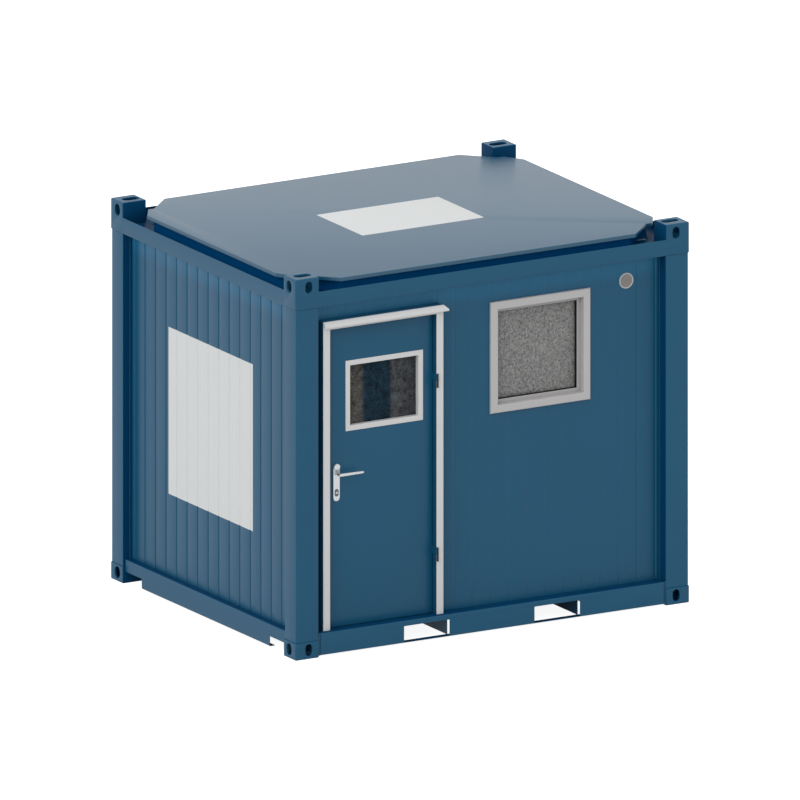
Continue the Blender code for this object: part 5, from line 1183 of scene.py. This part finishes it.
low, high = reach_of("lock_cylinder")
cylinder = piece(
    "cylinder_body", [prism(round_of(CYLINDER, CYLINDER_RADIUS), "y", low, high, FINE_CORNER)],
    SATIN_STEEL, "satin_steel", "entrance_door", "lock_cylinder",
)
plug_bore = prism(round_of(CYLINDER, PLUG_RADIUS + JOINT), "y", low - BORE_PAST, high - CYLINDER_FLOOR)
dent(cylinder, [plug_bore])
low, high = reach_of("lock_plug")
plug = piece(
    "key_plug_dressed", [prism(round_of(CYLINDER, PLUG_RADIUS), "y", low, high, FINE_EDGE)],
    SATIN_STEEL, "satin_steel", "key_plug", "lock_plug",
)
key_slot = rectangle(CYLINDER[0] - KEY_SLOT / 2, CYLINDER[1] - KEY_SLOT_HALF,
                     CYLINDER[0] + KEY_SLOT / 2, CYLINDER[1] + KEY_SLOT_HALF)
dent(plug, [prism(key_slot, "y", low - CYLINDER_FLOOR, low + KEY_SLOT_DEPTH)])


def finished(names, look):
    """Gives the shown CAD solids of these names a better material."""
    for name in names:
        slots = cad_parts[name].data.materials
        slots.clear()
        slots.append(look)


finished(["hinge_pin_lower", "hinge_pin_upper", "latch_bolt", "deadbolt"], SATIN_STEEL)
finished(["lock_case"], HOUSING_ZINC)

# Window
# A tilting window in light grey plastic. The outer frame is welded at its mitres and rounded at its front;
# the sash sits back in it, and a black rubber gasket lines the deep rebate round the obscured pane.
FRAME_Y = (0.075, 0.158)
FRAME_BAR = 0.054
SASH_Y = (0.1185, 0.1715)
SASH_OVERLAP = 0.012
SASH_PLAY = 0.0035
SASH_BAR = 0.027
GASKET, GASKET_BITE, GASKET_ROUND = 0.0022, 0.0005, 0.0008
GASKET_SLOPE = (0.0020, 0.0045)
PANE_SEAT = 0.0004
CATCH_RADIUS, CATCH_NECK, CATCH_HALF, CATCH_ROUND = 0.0098, 0.011, 0.0085, 0.004
REFLECTION_MARGIN, REFLECTION_LEAN = 0.15, 0.45
WINDOW_GREY = coated(
    "window_plastic", (0.52, 0.51, 0.513), 0.30, ior=1.45, mottle=(6.0, 0.05), grain=(900.0, 0.04)
)
# Painted shade: the sash is the same light grey plastic as the frame, coloured darker because it sits back in
# the frame.
SHADED_SASH_GREY = coated(
    "sash_plastic_shaded", (0.42, 0.41, 0.41), 0.34, ior=1.45, mottle=(6.0, 0.05), grain=(900.0, 0.04)
)
RUBBER = coated(
    "gasket_rubber", (0.004, 0.004, 0.004), 0.65, ior=1.35, mottle=(80.0, 0.3), grain=(900.0, 0.3)
)
PLASTIC_WHITE = coated(
    "white_plastic", (0.70, 0.70, 0.68), 0.38, ior=1.45, mottle=(12.0, 0.05), grain=(900.0, 0.08)
)
WINDOW_LOW, WINDOW_HIGH = zip(WINDOW_SPAN, WINDOW_HEIGHTS)


def drawn_in(amount):
    """The lower left and upper right corners of the window, drawn in by a distance."""
    return tuple(value + amount for value in WINDOW_LOW), tuple(value - amount for value in WINDOW_HIGH)


pane_y = reach_of("window_pane")
rebate = FRAME_BAR - SASH_OVERLAP - SASH_PLAY
frame_line = [
    (0.0, FRAME_Y[1]), (0.0, FRAME_Y[0]), (FRAME_BAR, FRAME_Y[0]), (FRAME_BAR, SASH_Y[0] - JOINT),
    (rebate, SASH_Y[0] - JOINT), (rebate, FRAME_Y[1]),
]
sash_face = SASH_OVERLAP + SASH_BAR
sash_line = [
    (0.0, SASH_Y[1]), (0.0, SASH_Y[0]), (sash_face, SASH_Y[0]), (sash_face, pane_y[0] - PANE_SEAT),
    (SASH_BAR, pane_y[0] - PANE_SEAT), (SASH_BAR, SASH_Y[1]),
]
gasket_line = [
    (sash_face - GASKET_BITE, SASH_Y[0] + GASKET_SLOPE[0]), (sash_face + GASKET, SASH_Y[0] + GASKET_SLOPE[1]),
    (sash_face + GASKET, pane_y[0] + PANE_SEAT / 2), (sash_face - GASKET_BITE, pane_y[0] + PANE_SEAT / 2),
]
frame_radii = [0.001, 0.0085, 0.0040, 0.0008, 0.0006, 0.001]
sash_radii = [0.001, 0.0015, 0.0030, 0.0006, 0.0006, 0.001]
sash_corners = drawn_in(FRAME_BAR - SASH_OVERLAP)
for name, line, corners, look, body_and_node in (
    ("window_outer_frame", soften(frame_line, frame_radii, steps=5), drawn_in(0.0), WINDOW_GREY,
     ("module", "window_frame")),
    ("window_sash_dressed", soften(sash_line, sash_radii, steps=4), sash_corners, SHADED_SASH_GREY,
     ("tilt_sash", "window_sash")),
    ("window_gasket", soften(gasket_line, GASKET_ROUND, steps=3), sash_corners, RUBBER,
     ("tilt_sash", "window_sash")),
):
    piece(name, [mitred(line, *corners)], look, "window_profile", *body_and_node)
window_left, window_right = (float(end.x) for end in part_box("window_pane"))
# Painted reflection: the pane's grey runs from dark to light across it and leans with height.
WINDOW_GLASS = obscured(
    "window_glass",
    [(0.0, (0.088, 0.088, 0.088)), (1.0, (0.215, 0.215, 0.212)), (0.45, (0.150, 0.150, 0.150))],
    span=(window_left - REFLECTION_MARGIN, window_right + REFLECTION_MARGIN), lean=REFLECTION_LEAN, scales=(150.0, 60.0),
    contrast=2.2, rough=0.38, bump=0.5,
)
low, high = drawn_in(FRAME_BAR - SASH_OVERLAP + SASH_BAR + JOINT)
glass = slab((low[0], pane_y[0], low[1]), (high[0], pane_y[1], high[1]), "y", SHEET_EDGE, SHEET_EDGE)
piece("window_glass_pane", [glass], WINDOW_GLASS, "obscured_glass", "tilt_sash", "window_pane")
handle_low, handle_high = (np.array(end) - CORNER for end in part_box("window_handle"))
catch_x, catch_z = handle_low[0] + NECK_RADIUS, (handle_low[2] + handle_high[2]) / 2
grip = slab(
    (catch_x, handle_low[1] + CATCH_NECK, catch_z - CATCH_HALF),
    (handle_high[0], handle_high[1], catch_z + CATCH_HALF), "x", CATCH_ROUND, CATCH_ROUND,
)
piece(
    "window_catch_dressed", [domed((catch_x, catch_z), CATCH_RADIUS, handle_low[1], handle_high[1]), grip],
    PLASTIC_WHITE, "white_plastic", "window_catch", "window_handle",
)

# Round vent and fan
# A light grey moulded ring closes the duct outside. Fine woven wire keeps insects out, and a small axial
# fan with curved blades sits in its housing on the inner lining.
RING_OUTER, RING_INNER = 0.054, 0.044
RING_PROUD = 0.0063
SPIGOT_RADIUS, SPIGOT_DEPTH, SPIGOT_STEP = 0.0497, 0.0247, 0.0001
WIRE_PITCH, WIRE_HALF = 0.0036, 0.00045
WIRES_EACH_SIDE = 11
WIRE_SET, WIRE_BITE = 0.0035, 0.0004
HOOP_OVER, HOOP_Y = 0.0003, (-0.0012, -0.0004)
VENT_GREY = coated(
    "vent_plastic", (0.50, 0.53, 0.55), 0.36, ior=1.45, mottle=(20.0, 0.06), grain=(900.0, 0.08)
)
WIRE_GREY = coated("wire_cloth", (0.40, 0.38, 0.35), 0.55, mottle=(120.0, 0.25), grain=(1500.0, 0.20))


def ring_section(steps=8):
    """The vent ring's wall: half an ellipse over its front between its edges, then back to the duct."""
    angle = np.linspace(math.pi, 0.0, 2 * steps + 1)
    half = (RING_OUTER - RING_INNER) / 2
    base = FRONT_WALL_Y - JOINT
    front = zip(RING_INNER + half - half * np.cos(angle), base - (RING_PROUD - JOINT) * np.sin(angle))
    return [
        *front, (RING_OUTER, base), (SPIGOT_RADIUS, base + SPIGOT_STEP),
        (SPIGOT_RADIUS, FRONT_WALL_Y + SPIGOT_DEPTH), (RING_INNER, FRONT_WALL_Y + SPIGOT_DEPTH),
    ]


piece("vent_ring", [turned(ring_section(), VENT_AT, "y", count=64, loop=True)], VENT_GREY, "vent_plastic",
      node="vent_cover")
wires = []
for number in range(-WIRES_EACH_SIDE, WIRES_EACH_SIDE + 1):
    offset = number * WIRE_PITCH
    reach = math.sqrt(RING_INNER**2 - offset**2) + WIRE_BITE
    strip = np.array([(-reach, offset - WIRE_HALF), (reach, offset + WIRE_HALF)])
    for upright in (False, True):
        low, high = (strip[:, ::-1] if upright else strip) + VENT_AT
        depth = FRONT_WALL_Y - WIRE_SET + (2 * WIRE_HALF if upright else 0.0)
        wires.append(prism(rectangle(*low, *high), "y", depth, depth + 2 * WIRE_HALF))
hoop = [(RING_INNER + HOOP_OVER, FRONT_WALL_Y + y) for y in HOOP_Y]
wires.append(turned(hoop, VENT_AT, "y"))
piece("vent_mesh", wires, WIRE_GREY, "vent_plastic", node="vent_cover")
finished(["fan_housing", "fan_impeller"], PLASTIC_WHITE)

# Notice fields
# Plain white painted rectangles on the left wall and on the roof, where a notice may go. The one on the wall
# follows the skin into its grooves.
FIELD_Y, FIELD_Z = (0.685, 1.793), (0.716, 1.852)
FIELD_X, FIELD_ROOF_Y = (1.034, 1.958), (0.913, 1.519)
FIELD_CORNER = 0.006
FILM, FILM_BITE, SIDE_BITE = 0.0004, 0.0002, 0.00005
FIELD_WHITE = coated(
    "field_paint", (0.70, 0.72, 0.72), 0.45, ior=1.40, mottle=(2.0, 0.04), grain=(500.0, 0.05)
)


def follow(skin, start, end, film):
    """The part of a skin's line between two places, and the same line set outwards by a film's thickness."""
    inside = skin[(skin[:, 0] > start) & (skin[:, 0] < end)]
    depth = np.interp((start, end), skin[:, 0], skin[:, 1])
    line = np.vstack([(start, depth[0]), inside, (end, depth[1])])
    return np.vstack([line, (line - (0.0, film))[::-1]])


side_line = follow(grooved(FRONT_WALL_Y, WIDTH - FRONT_WALL_Y, SIDE_GROOVE_AT, SIDE_DEPTH), *FIELD_Y, FILM)
side_line = side_line[:, ::-1] + (SIDE_WALL_X - SIDE_BITE, 0.0)
piece("sign_field_side", [prism(side_line, "z", *FIELD_Z)], FIELD_WHITE, "wall_paint")
roof_field = slab(
    (FIELD_X[0], FIELD_ROOF_Y[0], ROOF_TOP - FILM_BITE), (FIELD_X[1], FIELD_ROOF_Y[1], ROOF_TOP + FILM), "z",
    FIELD_CORNER, FILM_BITE,
)
piece("sign_field_roof", [roof_field], FIELD_WHITE, "roof_coating")

# Floor, underfloor and ceiling
# Fork pockets in the frame's blue and a galvanised sheet with cross-members close the floor frame below. The
# deck is covered in grey vinyl and the ceiling panel in white board.
GALVANISED = coated(
    "galvanised_sheet", (0.40, 0.41, 0.42), 0.46, metallic=0.85, mottle=(26.0, 0.35), grain=(300.0, 0.2)
)
VINYL = coated("floor_vinyl", (0.17, 0.18, 0.19), 0.55, ior=1.45, mottle=(140.0, 0.35), grain=(700.0, 0.30))
# The ceiling board carries painted shade: its top, a ledge under the roof, and faces turned towards the
# module's middle are darkened and lose gloss.
CEILING_WHITE = coated("ceiling_board", (0.74, 0.74, 0.72), 0.46, ior=1.45, grain=(240.0, 0.15), painted_shade=0.9)
finished(["fork_pocket_left", "fork_pocket_right"], FRAME_BLUE)
finished(["underfloor_tray"], GALVANISED)
finished(["floor_deck"], VINYL)
finished(["ceiling_panel"], CEILING_WHITE)

# Cubicles
# White laminated board partitions and doors on steel knuckles divide the room into a toilet, a shower and a
# wash space by the entrance.
BOARD_WHITE = coated(
    "lining_board", (0.74, 0.74, 0.72), 0.46, ior=1.45, mottle=(2.0, 0.04), grain=(240.0, 0.15)
)
finished(["cubicle_partition", "wc_door", "shower_door"], BOARD_WHITE)

# Toilet, washbasin and shower tray
# Glazed vitreous china for the pan, cistern and basin and a moulded tray for the shower. Seat and lid are
# white plastic and turn on one hinge line.
GLAZE = coated("sanitary_glaze", (0.82, 0.82, 0.80), 0.10, mottle=(3.0, 0.03), grain=(60.0, 0.04))
finished(["toilet_cistern", "shower_tray", "toilet_pan", "washbasin"], GLAZE)
finished(["toilet_seat", "toilet_lid"], PLASTIC_WHITE)

# Taps, shower and water heater
# Chromed brass mixers with single levers, and an enamelled steel water heater hung on the rear wall.
CHROME = coated(
    "chrome_plate", (0.78, 0.78, 0.79), 0.08, metallic=1.0, mottle=(20.0, 0.10), grain=(90.0, 0.03)
)
ENAMEL = coated("heater_enamel", (0.76, 0.76, 0.74), 0.24, mottle=(3.0, 0.03), grain=(300.0, 0.05))
finished(["flush_button", "basin_tap", "basin_tap_lever", "shower_mixer", "shower_mixer_lever"], CHROME)
finished(["water_heater"], ENAMEL)
